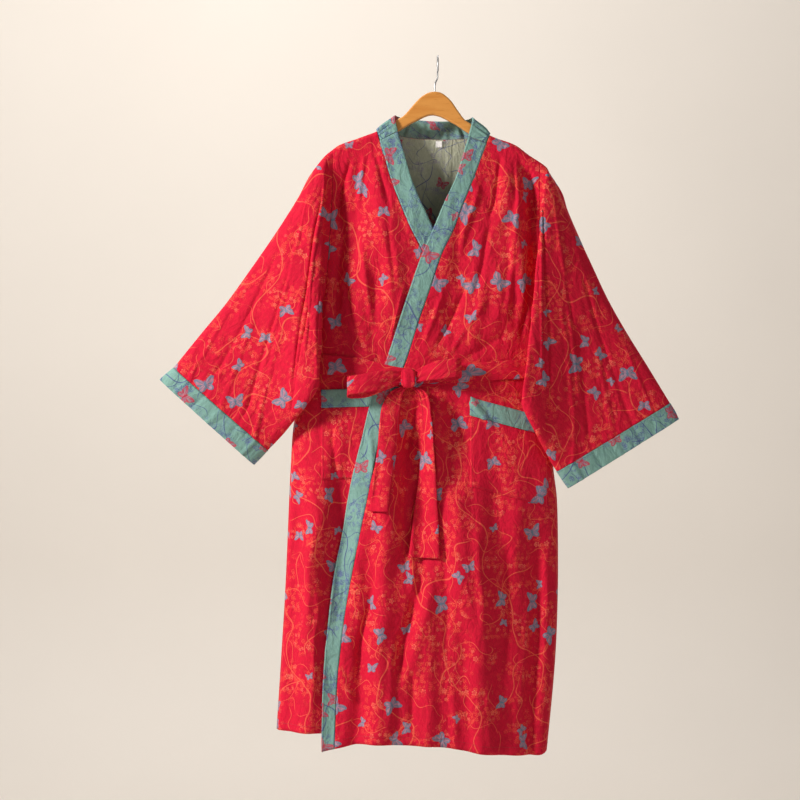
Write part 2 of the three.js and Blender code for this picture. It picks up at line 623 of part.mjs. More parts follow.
// A tube through rings of points, its wall on the outside of them.
function tube(rings, thick, firstFlat) {
  const around = rings[0].length;
  const outer = rings.map((ring, row) =>
    ring.map((p, column) => {
      const next = ring[(column + 1) % around];
      const before = ring[(column + around - 1) % around];
      const ahead = rings[Math.min(row + 1, rings.length - 1)][column];
      const behind = rings[Math.max(row - 1, 0)][column];
      const normal = ahead.clone().sub(behind).cross(next.clone().sub(before));
      if (row === 0 && firstFlat) normal.x = 0;
      normal.normalize();
      const away = ring.reduce((sum, q) => sum.add(q), new THREE.Vector3()).divideScalar(around);
      return { p, normal, away };
    }),
  );
  // The normals all face one way, so one test of the whole ring tells which.
  let facing = 0;
  for (const { p, normal, away } of outer[outer.length - 1])
    facing += normal.dot(p.clone().sub(away));
  const sign = Math.sign(facing);
  return wall(
    outer.map((line) => line.map(({ p, normal }) => p.clone().addScaledVector(normal, sign * thick))),
    rings,
    true,
  );
}

// A strip of cloth through cross lines of points, half its thickness to each side.
function ribbon(lines, thick) {
  const last = lines.length - 1;
  const shifted = (distance) =>
    lines.map((line, row) =>
      line.map((p, column) => {
        const ahead = lines[Math.min(row + 1, last)][column];
        const behind = lines[Math.max(row - 1, 0)][column];
        const next = line[Math.min(column + 1, line.length - 1)];
        const before = line[Math.max(column - 1, 0)];
        const normal = ahead.clone().sub(behind).cross(next.clone().sub(before)).normalize();
        return p.clone().addScaledVector(normal, distance);
      }),
    );
  return wall(shifted(thick / 2), shifted(-thick / 2));
}

const robe = new THREE.Group();
const COLOURS = {
  robe: new THREE.Color(0xd81f33),
  band: new THREE.Color(0x74aa9e),
  label: new THREE.Color(0xf2efe8),
  wood: new THREE.Color(0xdf9a45),
  steel: new THREE.Color(0xb4b6b8),
};
function add(name, geometry, colour, roughness = 0.9, metalness = 0) {
  const material = new THREE.MeshStandardMaterial({ color: COLOURS[colour], roughness, metalness });
  const mesh = new THREE.Mesh(geometry, material);
  mesh.name = name;
  robe.add(mesh);
}

const front = panelGrid(-1);
const back = panelGrid(1);

// Back: open at the neck, along the neckband's seam, and at both armholes.
const BACK_HEM = { minusX: -1275, plusX: -1300 };
const BACK_NECK = { from: -117.2, fromZ: -141, to: 101.4, toZ: -150, belowSeam: 1.2 };
const neckSeam = NECKBAND.filter((row) => row.seamY > -1).map((row) => [
  row.seamX,
  row.seamZ - BACK_NECK.belowSeam,
]);
add(
  "back",
  layer(back, PANEL, [
    [BACK_NECK.from, ABOVE_Z],
    [BACK_NECK.from, BACK_NECK.fromZ],
    ...neckSeam.slice(1, -1),
    [BACK_NECK.to, BACK_NECK.toZ],
    [BACK_NECK.to, ABOVE_Z],
    ...armholeOutline("plusX"),
    [OUTSIDE_X, BACK_HEM.plusX],
    [-OUTSIDE_X, BACK_HEM.minusX],
    ...armholeOutline("minusX").reverse(),
  ]),
  "robe",
);

// Top front, and its band. Band edges are taken down to the hem's last rows, then the hem ends them.
const TOP_NECK_X = 103.4;
const FRONT_TOP_Z = -120;
const TOP_HEM_END = -1300;
const TOP_BAND_HEM = [
  [-195, -1311],
  [-219, -1317],
];
const TOP_HEM = [
  [-157, -1303],
  [-134, -1301],
  [-77, -1302],
  [15, -1307],
  [83, -1319],
  [142, -1325],
  [194, -1327],
  [206, -1321],
  [OUTSIDE_X, -1321],
];
add(
  "front_left",
  layer(front, PANEL, [
    ...TOP_HEM,
    ...armholeOutline("plusX").reverse(),
    [TOP_NECK_X, ABOVE_Z],
    ...bandEdge("topSeam", FRONT_TOP_Z, TOP_HEM_END, SEAM_HALF),
    [TOP_BAND_HEM[0][0] + 2 * SEAM_HALF, TOP_BAND_HEM[0][1] + 1],
  ]),
  "robe",
);
const topStart = BAND_START.top;
add(
  "band_left",
  layer(front, BAND, [
    [topStart.freeX, topStart.freeZ - START_GAP],
    [topStart.seamX - SEAM_HALF, topStart.seamZ - START_GAP],
    ...bandEdge("topSeam", topStart.seamZ, TOP_HEM_END, -SEAM_HALF),
    ...TOP_BAND_HEM,
    ...bandEdge("topFree", topStart.freeZ, TOP_HEM_END).reverse(),
  ]),
  "band",
);

// Under front, and its band, which runs on hidden below the crossing.
const UNDER_HEM = -1281;
const UNDER_NECK_X = -117;
const UNDER_BAND_HEM = [
  [88.4, UNDER_HEM - 5],
  [124.5, UNDER_HEM - 7],
];
add(
  "front_right",
  layer(
    front,
    PANEL,
    [
      [-OUTSIDE_X, UNDER_HEM],
      [UNDER_BAND_HEM[0][0] - 2 * SEAM_HALF, UNDER_BAND_HEM[0][1]],
      ...bandEdge("underSeam", FRONT_TOP_Z, UNDER_HEM, -SEAM_HALF).reverse(),
      [UNDER_NECK_X, ABOVE_Z],
      ...armholeOutline("minusX"),
    ],
    underShift,
  ),
  "robe",
);
const underStart = BAND_START.under;
add(
  "band_right",
  layer(
    front,
    BAND,
    [
      [underStart.freeX, underStart.freeZ - START_GAP],
      [underStart.seamX + SEAM_HALF, underStart.seamZ - START_GAP],
      ...bandEdge("underSeam", underStart.seamZ - 1, UNDER_HEM, SEAM_HALF),
      ...UNDER_BAND_HEM,
      ...bandEdge("underFree", underStart.freeZ, UNDER_HEM).reverse(),
    ],
    underShift,
  ),
  "band",
);

// Neckband: three points across, its middle a little outside the straight line.
add(
  "neckband",
  ribbon(
    NECKBAND.map((row) => {
      const seam = new THREE.Vector3(row.seamX, row.seamY, row.seamZ);
      const free = new THREE.Vector3(row.freeX, row.freeY, row.freeZ);
      const middle = seam.clone().lerp(free, 0.5);
      return [seam, middle, free];
    }),
    BAND[1] - BAND[0],
  ),
  "band",
);

// Patch pockets: a panel and a band above it, laid on their front.
function pocket(name, at, shift) {
  const topAt = (x) => mix(at.fromTop, at.toTop, (x - at.from) / (at.to - at.from));
  const outline = (upper, lower) => [
    [at.from, topAt(at.from) - upper],
    [at.to, topAt(at.to) - upper],
    [at.to, topAt(at.to) - lower],
    [at.from, topAt(at.from) - lower],
  ];
  add(name, layer(front, POCKET, outline(at.bandDeep + SEAM_GAP, at.deep), shift), "robe");
  add(`${name}_band`, layer(front, POCKET_BAND, outline(0, at.bandDeep), shift), "band");
}
pocket("pocket_right", POCKET_ON_UNDER, underShift);
pocket("pocket_left", POCKET_ON_TOP, () => 0);

// Sleeves and cuffs.
function sleeve(name, cuffName, rows, cuffRows, side) {
  const rings = rows.map((row) => sleeveRing(row, side, SLEEVE_SQUARENESS));
  add(name, tube([rootRing(side), ...rings], WALL, true), "robe");
  const cuffRings = cuffRows.map((row) => sleeveRing(row, side, SLEEVE_SQUARENESS));
  add(cuffName, tube(cuffRings, CUFF_WALL, false), "band");
}
sleeve("sleeve_right", "cuff_right", SLEEVE_RIGHT, CUFF_RIGHT, "minusX");
sleeve("sleeve_left", "cuff_left", SLEEVE_LEFT, CUFF_LEFT, "plusX");

// Sash round the waist: it follows the same columns as the panels it lies on.
const SLOPE_STEP = 1.5;
function beltRing(distance) {
  const rows = [0, 0.5, 1];
  const sides = [front, back];
  return rows.map((across) => {
    const ring = [];
    for (const grid of sides) {
      const columns = Array.from({ length: COLUMNS }, (_, i) => (grid === front ? i : COLUMNS - i));
      for (const column of columns) ring.push(beltPoint(grid, column, across, distance));
    }
    return ring;
  });
}
function beltPoint(grid, column, across, distance) {
  const reach = Math.sin(((column / COLUMNS) * 2 - 1) * (Math.PI / 2));
  const line = grid === front ? BELT_LINE : BELT_BACK_LINE;
  const place = (share) => {
    let x = 0;
    let z = 0;
    for (let pass = 0; pass < 4; pass += 1) {
      z = mix(along(line, "x", x, "top"), along(line, "x", x, "low"), share);
      const left = along(SIDES, "z", z, "minusX");
      const right = along(SIDES, "z", z, "plusX");
      x = (left + right) / 2 + ((right - left) / 2) * reach;
    }
    const edge = Math.abs(reach) > 0.9999;
    return new THREE.Vector3(x, edge ? 0 : grid.facing * standOut(grid.facing, x, z), z);
  };
  const p = place(across);
  const normal = surfaceNormal(grid.facing, p, Math.abs(reach) > 0.9999);
  return p.addScaledVector(normal, distance);
}
function surfaceNormal(facing, p, atSide) {
  if (atSide) return new THREE.Vector3(Math.sign(p.x), 0, 0);
  const step = SLOPE_STEP;
  const outAt = (x, z) => facing * standOut(facing, x, z);
  const acrossSlope = (outAt(p.x + step, p.z) - outAt(p.x - step, p.z)) / (2 * step);
  const downSlope = (outAt(p.x, p.z + step) - outAt(p.x, p.z - step)) / (2 * step);
  return new THREE.Vector3(-acrossSlope, 1, -downSlope).multiplyScalar(facing).normalize();
}
add("belt_wrap", wall(beltRing(BELT[1]), beltRing(BELT[0]), true), "robe");

// Knot, with the loops and ends of the sash seated against it.
const knotY = -(standOut(-1, KNOT.x, KNOT.z) + KNOT.standOff);
function knotBall(grow) {
  const ball = new THREE.SphereGeometry(1, 14, 10);
  ball.scale(KNOT.halfX + grow, KNOT.halfY + grow, KNOT.halfZ + grow);
  ball.translate(KNOT.x, knotY, KNOT.z);
  return ball;
}
add("belt_knot", knotBall(0), "robe");
const knotSeat = solid(knotBall(SEAM_GAP));
function sashPiece(name, lines) {
  const pieces = solid(ribbon(lines, RIBBON)).subtract(knotSeat).decompose();
  const largest = pieces.reduce((a, b) => (a.volume() > b.volume() ? a : b));
  add(name, geometryOf(largest), "robe");
}
function loopLines(rows) {
  const base = standOut(-1, rows[0].x, KNOT.z);
  return rows.map((row) => {
    const y = -(base + row.out);
    const bow = LOOP_BOW * Math.min(1, Math.abs(row.x - KNOT.x) / LOOP_BOW_STARTS);
    return RIBBON_SHARES.map(
      (share) =>
        new THREE.Vector3(row.x, y - bow * Math.sin(share * Math.PI), mix(row.top, row.low, share)),
    );
  });
}
sashPiece("belt_loop_left", loopLines(LOOP_LEFT));
sashPiece("belt_loop_right", loopLines(LOOP_RIGHT));
function tailLines(rows) {
  return rows.map((row) =>
    RIBBON_SHARES.map((share) => {
      const x = mix(row.from, row.to, share);
      return new THREE.Vector3(x, -(standOut(-1, x, row.z) + row.off), row.z);
    }),
  );
}
sashPiece("belt_tail_right", tailLines(TAIL_RIGHT));
sashPiece("belt_tail_left", tailLines(TAIL_LEFT));

// Blank size label, lying inside the back below the neck seam.
add(
  "size_label",
  layer(back, LABEL_LAYER, [
    [LABEL.from, LABEL.top],
    [LABEL.to, LABEL.top],
    [LABEL.to, LABEL.low],
    [LABEL.from, LABEL.low],
  ]),
  "label",
);

// Wooden bar: its top follows the shoulders, just under the cloth.
const shoulderAt = (x) => along(SHOULDER, "x", x, "z") - BAR_UNDER_CLOTH;
const topToTip = BAR_TOP_MINUS_X.map((x) => [x, shoulderAt(x)]);
const topFromHump = BAR_TOP_PLUS_X.map((x) => [x, shoulderAt(x) - BAR_PLUS_X_LOWER]);
const barOutline = [
  BAR_TIPS[0],
  ...topToTip,
  ...BAR_HUMP.map(({ x, z }) => [x, z]),
  ...topFromHump,
  BAR_TIPS[1],
  ...BAR_UNDERSIDE.map(({ x, z }) => [x, z]),
];
const barShape = new THREE.Shape(barOutline.map(([x, z]) => new THREE.Vector2(x, z)));
const bar = new THREE.ExtrudeGeometry(barShape, {
  depth: BAR_THICK - 2 * BAR_BEVEL,
  bevelThickness: BAR_BEVEL,
  bevelSize: BAR_BEVEL,
  bevelOffset: -BAR_BEVEL,
  bevelSegments: 3,
});
bar.rotateX(Math.PI / 2);
bar.translate(0, BAR_THICK / 2 - BAR_BEVEL, 0);
add("hanger_bar", bar, "wood", 0.45);

// Wire hook: an arc over the rail, then a cranked shank down into the bar.
const wireRadius = HOOK_RADIUS + WIRE / 2;
const hookRoute = [];
for (let step = 0; step <= HOOK_ARC_STEPS; step += 1) {
  const turn = THREE.MathUtils.degToRad(mix(180 - HOOK_TIP_ANGLE, 0, step / HOOK_ARC_STEPS));
  hookRoute.push(
    new THREE.Vector3(0, wireRadius * Math.cos(turn), wireRadius * Math.sin(turn) - HOOK_RADIUS),
  );
}
for (const { x, y, z } of HOOK_SHANK) hookRoute.push(new THREE.Vector3(x, y, z));
const wireSection = new THREE.Shape();
wireSection.absarc(0, 0, WIRE / 2, 0, 2 * Math.PI);
const hook = new THREE.ExtrudeGeometry(wireSection, {
  steps: 26,
  curveSegments: 4,
  extrudePath: new THREE.CatmullRomCurve3(hookRoute),
});
add("hanger_hook", hook, "steel", 0.3, 1);

export default robe;
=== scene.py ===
# %% [markdown]
# # A kimono bathrobe on a wooden hanger
# The robe is cut from double-woven cotton: one face is red with coral boughs and grey-blue
# butterflies, and the reverse is teal. Flat panels are sewn together, so every piece here is a thin
# closed wall that is laid out on one shared surface, in rows and columns like the cloth's own threads.

# %% The frame
import math

import bpy
import numpy as np
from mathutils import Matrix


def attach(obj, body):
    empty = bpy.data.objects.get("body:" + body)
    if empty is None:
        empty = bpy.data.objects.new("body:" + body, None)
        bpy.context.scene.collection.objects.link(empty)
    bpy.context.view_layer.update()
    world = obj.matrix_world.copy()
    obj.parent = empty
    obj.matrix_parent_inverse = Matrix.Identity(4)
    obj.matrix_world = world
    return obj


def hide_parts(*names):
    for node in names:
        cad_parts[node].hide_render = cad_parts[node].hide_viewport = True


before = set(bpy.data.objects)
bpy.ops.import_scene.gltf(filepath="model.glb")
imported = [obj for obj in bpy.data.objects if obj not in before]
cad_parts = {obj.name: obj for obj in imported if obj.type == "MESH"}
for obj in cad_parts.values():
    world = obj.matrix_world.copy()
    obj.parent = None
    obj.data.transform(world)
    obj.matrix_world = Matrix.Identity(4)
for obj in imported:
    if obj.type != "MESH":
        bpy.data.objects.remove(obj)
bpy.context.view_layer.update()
print("frame", len(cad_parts), "nodes")

# %% [markdown]
# ## Camera
# The picture is taken level, from straight in front. The frame is 1.51 m wide at the robe, and a
# long lens from 3.5 m keeps the sides as parallel as they look.

# %% Camera
FRAME_WIDTH = 1.509
CAMERA_DISTANCE = 3.5
SENSOR_MM = 36.0
camera_data = bpy.data.cameras.new("camera")
camera_data.sensor_width = SENSOR_MM
camera_data.lens = SENSOR_MM * CAMERA_DISTANCE / FRAME_WIDTH
camera = bpy.data.objects.new("camera", camera_data)
camera.location = (-0.072, -CAMERA_DISTANCE - 0.04, -0.655)
camera.rotation_euler = (math.pi / 2, 0, 0)
bpy.context.scene.collection.objects.link(camera)
bpy.context.scene.camera = camera

# %% [markdown]
# ## Tables of sizes
# All sizes are in millimetres, in the frame's own axes, and one factor turns them to metres when a
# mesh is made. A table names its columns once, and each row is one height, edge or fold.

# %% Tables
MM = 0.001


def table(columns, *rows):
    """Rows of numbers under named columns."""
    names = columns.split()
    return {name: np.array([row[i] for row in rows], float) for i, name in enumerate(names)}


def along(rows, key, at, column):
    """The value of a column at one place along a table, smooth between its rows."""
    order = np.argsort(rows[key])
    keys = rows[key][order]
    values = rows[column][order]
    at = np.clip(np.asarray(at, float), keys[0], keys[-1])
    i = np.clip(np.searchsorted(keys, at, side="right") - 1, 0, len(keys) - 2)
    before = np.maximum(i - 1, 0)
    after = np.minimum(i + 2, len(keys) - 1)
    span = keys[i + 1] - keys[i]
    t = (at - keys[i]) / span
    start = (values[i + 1] - values[before]) / (keys[i + 1] - keys[before])
    end = (values[after] - values[i]) / (keys[after] - keys[i])
    return (
        values[i] * (2 * t**3 - 3 * t**2 + 1)
        + values[i + 1] * (3 * t**2 - 2 * t**3)
        + span * start * (t**3 - 2 * t**2 + t)
        + span * end * (t**3 - t**2)
    )


def smooth(low, high, value):
    """0 below low, 1 above high and soft between; low may be the larger."""
    t = np.clip((np.asarray(value, float) - low) / (high - low), 0, 1)
    return t * t * (3 - 2 * t)


def mix(a, b, share):
    """A place between a and b."""
    return a + (b - a) * share


WALL = 1.5
SEAM_GAP = 0.3
PANEL = (0.0, WALL)
BAND = (-0.5, 2.0)
POCKET = (1.6, 2.5)
POCKET_BAND = (1.6, 3.6)
BELT = (3.2, 5.0)
UNDER_DROP = 5.2
UNDER_RAMP = 50.0
HEM_Z = -1345.0
UNDERARM_Z = -505.0
ARMHOLE_INSET = 10.0
ARMHOLE_TAPER = 60.0
ROOT_RISE = 2.0
SEAT_BELOW = 6.0
ROOT_OUTWARD = 0.25
RIDGE_RADIUS = 9.0

SHOULDER = table(
    "x z",
    (-230, -206), (-205, -184), (-189, -171), (-156, -159), (-137, -152), (-116, -144), (-80, -124),
    (-5, -112), (64, -128), (100, -152), (147, -170), (173, -189), (204, -210), (225, -232),
)
SIDES = table(
    "z minusX plusX",
    (-100, -206, 203), (-250, -211, 204), (-330, -215, 203), (-420, -221, 202), (-505, -228, 203),
    (-590, -239, 206), (-660, -260, 211), (-700, -273, 214), (-784, -279, 219), (-845, -282, 226),
    (-965, -287, 228), (-1045, -291, 227), (-1125, -296, 224), (-1205, -301, 218),
    (-1345, -310, 204),
)
FULLNESS = table(
    "drop front back",
    (0, 9, 9), (25, 11, 13), (60, 15, 19), (100, 21, 26), (160, 29, 33), (240, 35, 38),
    (330, 38, 40), (410, 35, 37), (480, 40, 41), (560, 46, 46), (700, 52, 51), (900, 56, 55),
    (1200, 60, 59),
)
BANDS = table(
    "z topFree topSeam underFree underSeam",
    (-142, 62, 103, -77, -116.5), (-163, 55.5, 94, -71, -110.5), (-190, 47.5, 84, -63, -102.5),
    (-231, 35, 68.5, -51.5, -91), (-276, 14, 50.7, -34, -74.5), (-329, -8.6, 30.6, -8.6, -52),
    (-378, -30, 7.2, 12, -28), (-437, -51, -12.6, 28, -10), (-500, -72, -34.6, 42, 4),
    (-586, -100, -62, 58, 20.5), (-656, -126.5, -92, 72, 35), (-731, -145, -111, 84, 47),
    (-807, -163, -126, 95, 58), (-922, -184, -150, 108, 71.5), (-986, -197, -162.5, 112, 76),
    (-1070, -207, -177, 117, 81), (-1186, -217, -190, 122, 86), (-1345, -220, -196, 125, 89),
)
NECKBAND = table(
    "seamX seamY seamZ freeX freeY freeZ",
    (-109.6, -11, -161, -76, -11.5, -143), (-114.2, -7, -147, -81, -9, -122),
    (-115.8, 0, -140, -81, -2, -113), (-108, 13, -141, -76, 18, -112),
    (-84, 23, -147, -62, 33, -113), (-46, 28, -153, -37, 38, -116), (-5, 30, -155, -5, 40, -118),
    (36, 28, -155, 28, 38, -118), (72, 23, -153, 50, 33, -117), (93, 13, -150, 62, 18, -116),
    (98.8, 0, -148.5, 66, -2, -117), (96.4, -7, -154, 64, -9, -130),
    (92, -11, -165, 57.5, -11.5, -153),
)

# %% [markdown]
# ## Folds and creases
# A hanging robe has a few long folds that fall from the shoulders and from the sash, and many fine
# creases from washing. The solids have long folds of their own, and here they are more and deeper,
# up to 27 mm off the solids on the fronts. The fine ones are listed too, a row each, uneven
# in length, width and depth. A negative depth is a trough.

# %% Folds
FOLD_COLUMNS = "topX topZ lowX lowZ width depth"
FRONT_FOLDS = table(
    FOLD_COLUMNS,
    (158, -170, 176, -330, 13, -9), (136, -165, 118, -360, 15, 6), (-148, -155, -160, -430, 15, -6),
    (-180, -165, -198, -560, 14, -8), (-122, -150, -104, -400, 15, 5), (62, -300, 10, -570, 20, -6),
    (120, -380, 98, -545, 18, 5), (-112, -380, -130, -575, 17, -6), (-48, -630, -36, -1010, 24, -19),
    (24, -640, 42, -1120, 21, 9), (100, -640, 112, -1345, 20, -5), (148, -760, 150, -1345, 18, 7),
    (188, -860, 178, -1345, 14, -7), (-176, -720, -186, -1130, 24, -12),
    (-118, -860, -158, -1345, 16, -8), (-98, -660, -112, -1345, 22, 10),
    (-12, -1010, -20, -1345, 17, 7), (48, -1060, 60, -1345, 15, -6),
    (-14, -625, -6, -860, 20, 9), (-66, -636, -64, -1010, 13, -8),
    (72, -760, 84, -1345, 44, 12), (150, -860, 158, -1345, 36, -10),
    (-28, -960, -80, -1200, 11, -9), (-6, -960, -58, -1210, 15, 8),
    (-228, -720, -246, -1345, 24, 12), (-268, -800, -284, -1345, 14, -5),
    (-190, -210, -178, -540, 22, -8), (-96, -240, -78, -560, 18, 5),
    (176, -180, 188, -460, 12, -8), (150, -240, 160, -540, 14, 7),
    (28, -625, 32, -860, 24, -11), (84, -420, 60, -575, 13, 4),
)
BACK_FOLDS = table(
    FOLD_COLUMNS,
    (-150, -160, -165, -520, 17, -8), (142, -170, 128, -560, 18, -7), (-70, -200, -84, -570, 21, 6),
    (40, -230, 30, -570, 19, -6), (-190, -640, -214, -1345, 19, -9),
    (-118, -630, -132, -1345, 20, 9), (-52, -640, -40, -1345, 18, -11), (16, -660, 30, -1345, 21, 8),
    (84, -640, 96, -1345, 18, -9), (150, -700, 160, -1345, 17, 7),
)
FRONT_CREASES = table(
    FOLD_COLUMNS,
    (-160, -170, -196, -330, 5, -2.4), (-140, -165, -150, -300, 4, 1.8), (-128, -160, -92, -300, 5, -1.6),
    (-186, -300, -206, -480, 5, 2.2), (-200, -230, -212, -430, 4, -2.2), (-150, -330, -120, -540, 6, 1.8),
    (-96, -300, -80, -470, 5, -1.4), (-176, -420, -150, -560, 5, -2.0), (-210, -480, -130, -572, 5, -1.8),
    (-60, -420, -96, -560, 4, 1.4), (120, -170, 96, -330, 5, -1.8), (146, -176, 150, -330, 4, 2.4),
    (168, -188, 186, -300, 4, -2.6), (76, -230, 40, -400, 5, 1.6), (110, -300, 60, -480, 6, -1.8),
    (150, -330, 120, -520, 5, 1.8), (178, -380, 150, -560, 5, -2.0), (60, -420, -10, -575, 5, -1.8),
    (96, -450, 10, -585, 4, 1.5), (140, -520, 30, -590, 4, -1.5), (10, -440, -30, -560, 4, 1.3),
    (-36, -640, -70, -790, 5, -2.2), (-20, -640, 0, -820, 5, 2.0), (4, -640, 60, -760, 5, -1.8),
    (40, -630, 110, -720, 4, 1.6), (-60, -830, -40, -1080, 7, 2.2), (10, -900, 20, -1150, 6, -1.8),
    (70, -880, 84, -1130, 6, 1.8), (128, -900, 124, -1200, 6, -2.0), (166, -980, 160, -1300, 6, 1.8),
    (204, -900, 196, -1180, 5, 1.6), (-200, -680, -190, -900, 6, -1.8), (-236, -860, -252, -1120, 6, 2.0),
    (-262, -740, -276, -980, 5, -2.0), (-220, -1000, -240, -1270, 5, 1.6), (-130, -700, -120, -860, 5, 1.6),
    (-112, -950, -160, -1210, 6, -2.4), (-80, -1080, -96, -1300, 6, 1.8), (-44, -1120, -52, -1300, 6, -1.8),
    (26, -1180, 34, -1320, 5, 1.6), (96, -1180, 100, -1320, 5, 1.5), (140, -1200, 146, -1320, 5, -1.5),
    (-190, -1150, -160, -1230, 5, 1.4), (-20, -1230, 120, -1245, 4, 0.8), (-250, -1180, -200, -1200, 4, 0.9),
)
BACK_CREASES = table(
    FOLD_COLUMNS,
    (-120, -165, -170, -350, 5, -2.0), (-60, -170, -96, -330, 5, 1.6), (20, -170, 0, -340, 5, -1.6),
    (80, -165, 120, -330, 5, 1.8), (150, -180, 176, -380, 5, -2.0), (-180, -300, -200, -500, 5, 2.0),
    (-110, -380, -60, -560, 6, -1.8), (-20, -400, 10, -560, 5, 1.6), (90, -400, 60, -560, 5, -1.7),
    (160, -420, 110, -565, 5, 1.7), (-90, -640, -150, -760, 5, 1.8), (0, -640, -30, -800, 5, -1.8),
    (60, -640, 100, -790, 5, 1.6), (-230, -760, -250, -1060, 6, -2.0), (-160, -860, -180, -1200, 6, 1.8),
    (-90, -900, -80, -1240, 6, -1.9), (-10, -950, 0, -1280, 6, 1.7), (60, -900, 70, -1270, 6, -1.8),
    (120, -880, 130, -1220, 6, 1.8), (190, -900, 194, -1200, 5, -1.8), (-60, -1130, 90, -1150, 4, 0.9),
)
FOLD_SCALE = 1.3
CREASE_SCALE = 2.0
CRUMPLE_DEPTH = 0.9
CRUMPLE_WIDE = 17.0
CRUMPLE_LONG = 46.0
SMALL_HILL = 13.0
WANDER = 6.0
WANDER_SIZE = 70.0
LATTICE = 64
WANDER_SEED = 11
HILL_SEED = 7
SMALL_HILL_SEED = 8
LONG_FOLD = 100


def crumple(u, v, size, seed):
    """Smooth random hills about a millimetre high, from a seeded lattice."""
    lattice = np.random.default_rng(seed).uniform(-1, 1, (LATTICE, LATTICE))
    a = np.asarray(u) / size
    b = np.asarray(v) / size
    i = np.floor(a).astype(int)
    j = np.floor(b).astype(int)
    s = smooth(0, 1, a - i)
    t = smooth(0, 1, b - j)
    at = lambda di, dj: lattice[(i + di) % LATTICE, (j + dj) % LATTICE]
    return mix(mix(at(0, 0), at(1, 0), s), mix(at(0, 1), at(1, 1), s), t)


def ridges(rows, x, z, fade=0.3):
    """The sum of a table's folds at x, z. A fold fades out at both ends, but not at the hem.

    Along a long fold the place is told by the height alone, along a short one by the distance.
    """
    total = np.zeros(np.broadcast(x, z).shape)
    x = x + WANDER * crumple(np.asarray(x) * 0.4 + 500, np.asarray(z) + 3000, WANDER_SIZE, WANDER_SEED)
    for top_x, top_z, low_x, low_z, width, depth in zip(*(rows[c] for c in FOLD_COLUMNS.split())):
        long_one = abs(low_z - top_z) > LONG_FOLD
        if long_one:
            t = (top_z - z) / (top_z - low_z)
        else:
            reach = (low_x - top_x) ** 2 + (low_z - top_z) ** 2
            t = ((x - top_x) * (low_x - top_x) + (z - top_z) * (low_z - top_z)) / reach
        start = smooth(0, fade, t)
        end = smooth(1, 1 - fade, t) if low_z > HEM_Z else 1.0
        inside = np.clip(t, 0, 1)
        off_x = x - mix(top_x, low_x, inside)
        off_z = 0 if long_one else z - mix(top_z, low_z, inside)
        total += depth * start * end * np.exp(-(off_x**2 + off_z**2) / width**2)
    return total


# %% [markdown]
# ## The shared surface
# Front and back are two halves of one flattened tube that hangs from the shoulder line. At any x and
# z the surface says how far the cloth stands out from the middle plane.

# %% Surface
def stand_out(facing, x, z):
    """How far the front (-1) or back (+1) stands out at x, z."""
    left = along(SIDES, "z", z, "minusX")
    right = along(SIDES, "z", z, "plusX")
    drop = np.maximum(along(SHOULDER, "x", x, "z") - z, 0)
    inside = np.maximum(1 - ((2 * x - left - right) / (right - left)) ** 2, 0)
    power = mix(0.1, 0.38, smooth(0, 200, drop))
    full = along(FULLNESS, "drop", drop, "front" if facing < 0 else "back")
    ridge = np.sqrt(RIDGE_RADIUS**2 - (RIDGE_RADIUS - np.minimum(drop, RIDGE_RADIUS)) ** 2)
    folds = ridges(FRONT_FOLDS if facing < 0 else BACK_FOLDS, x, z)
    folds = folds + CREASE_SCALE * ridges(FRONT_CREASES if facing < 0 else BACK_CREASES, x, z)
    base = ridge / RIDGE_RADIUS * full * inside**power
    return base + FOLD_SCALE * folds * np.minimum(1, 4 * inside) * smooth(5, 70, drop)


def under_shift(x, z):
    """Where the top front lies over the under front, the under front lies deeper."""
    edge = along(BANDS, "z", z, "topFree")
    return -UNDER_DROP * smooth(edge - UNDER_RAMP, edge - 4, x)


def armhole_x(side, z):
    """The edge of a front or back at the armhole."""
    edge = along(SIDES, "z", z, side)
    taper = np.clip((z - UNDERARM_Z) / ARMHOLE_TAPER, 0, 1)
    return edge - np.sign(edge) * ARMHOLE_INSET * taper


def panel_side(side):
    """The side of a panel: the armhole, then the side seam."""
    sign = -1 if side == "minusX" else 1

    def edge(z):
        seam = along(SIDES, "z", z, side)
        return np.where(z > UNDERARM_Z - SEAT_BELOW, armhole_x(side, z), seam) - sign * 0.01

    return edge


def band_side(column, move=0.0):
    """An edge or seam of a front band, moved sideways to leave a seam's gap."""
    return lambda z: along(BANDS, "z", z, column) + move


# %% [markdown]
# ## Walls of cloth
# Each piece is a grid of points with a normal at each, and its wall runs from an inner to an outer
# distance along the normals. Outer faces take the cloth's right side, inner faces its reverse. The
# UV map is in metres along the threads, so that patterns and weave keep their real size.

# %% Walls
def unit(vectors):
    """The same directions, each one long."""
    return vectors / np.maximum(np.linalg.norm(vectors, axis=-1, keepdims=True), 1e-9)


def closed_round(grid):
    """A ring-shaped grid with its last column before it and its first one after it."""
    return np.concatenate([grid[:, -1:], grid, grid[:, :1]], axis=1)


def grid_quads(index):
    """The four corners of each face of a grid of vertex numbers."""
    corners = [index[:-1, :-1], index[1:, :-1], index[1:, 1:], index[:-1, 1:]]
    return np.stack(corners, axis=-1).reshape(-1, 4)


def add_object(name, data):
    """A new object in the scene."""
    made = bpy.data.objects.new(name, data)
    bpy.context.scene.collection.objects.link(made)
    return made


def grid_normals(points, facing_out, flat_rows=()):
    """Unit normals of a grid; on flat rows they keep to the XZ plane."""
    across = np.gradient(points, axis=1)
    down = np.gradient(points, axis=0)
    normals = np.cross(down, across)
    for row in flat_rows:
        normals[row, :, 1] = 0
    normals = unit(normals)
    middle = normals[points.shape[0] // 2, points.shape[1] // 2]
    return normals if np.dot(middle, facing_out) > 0 else -normals


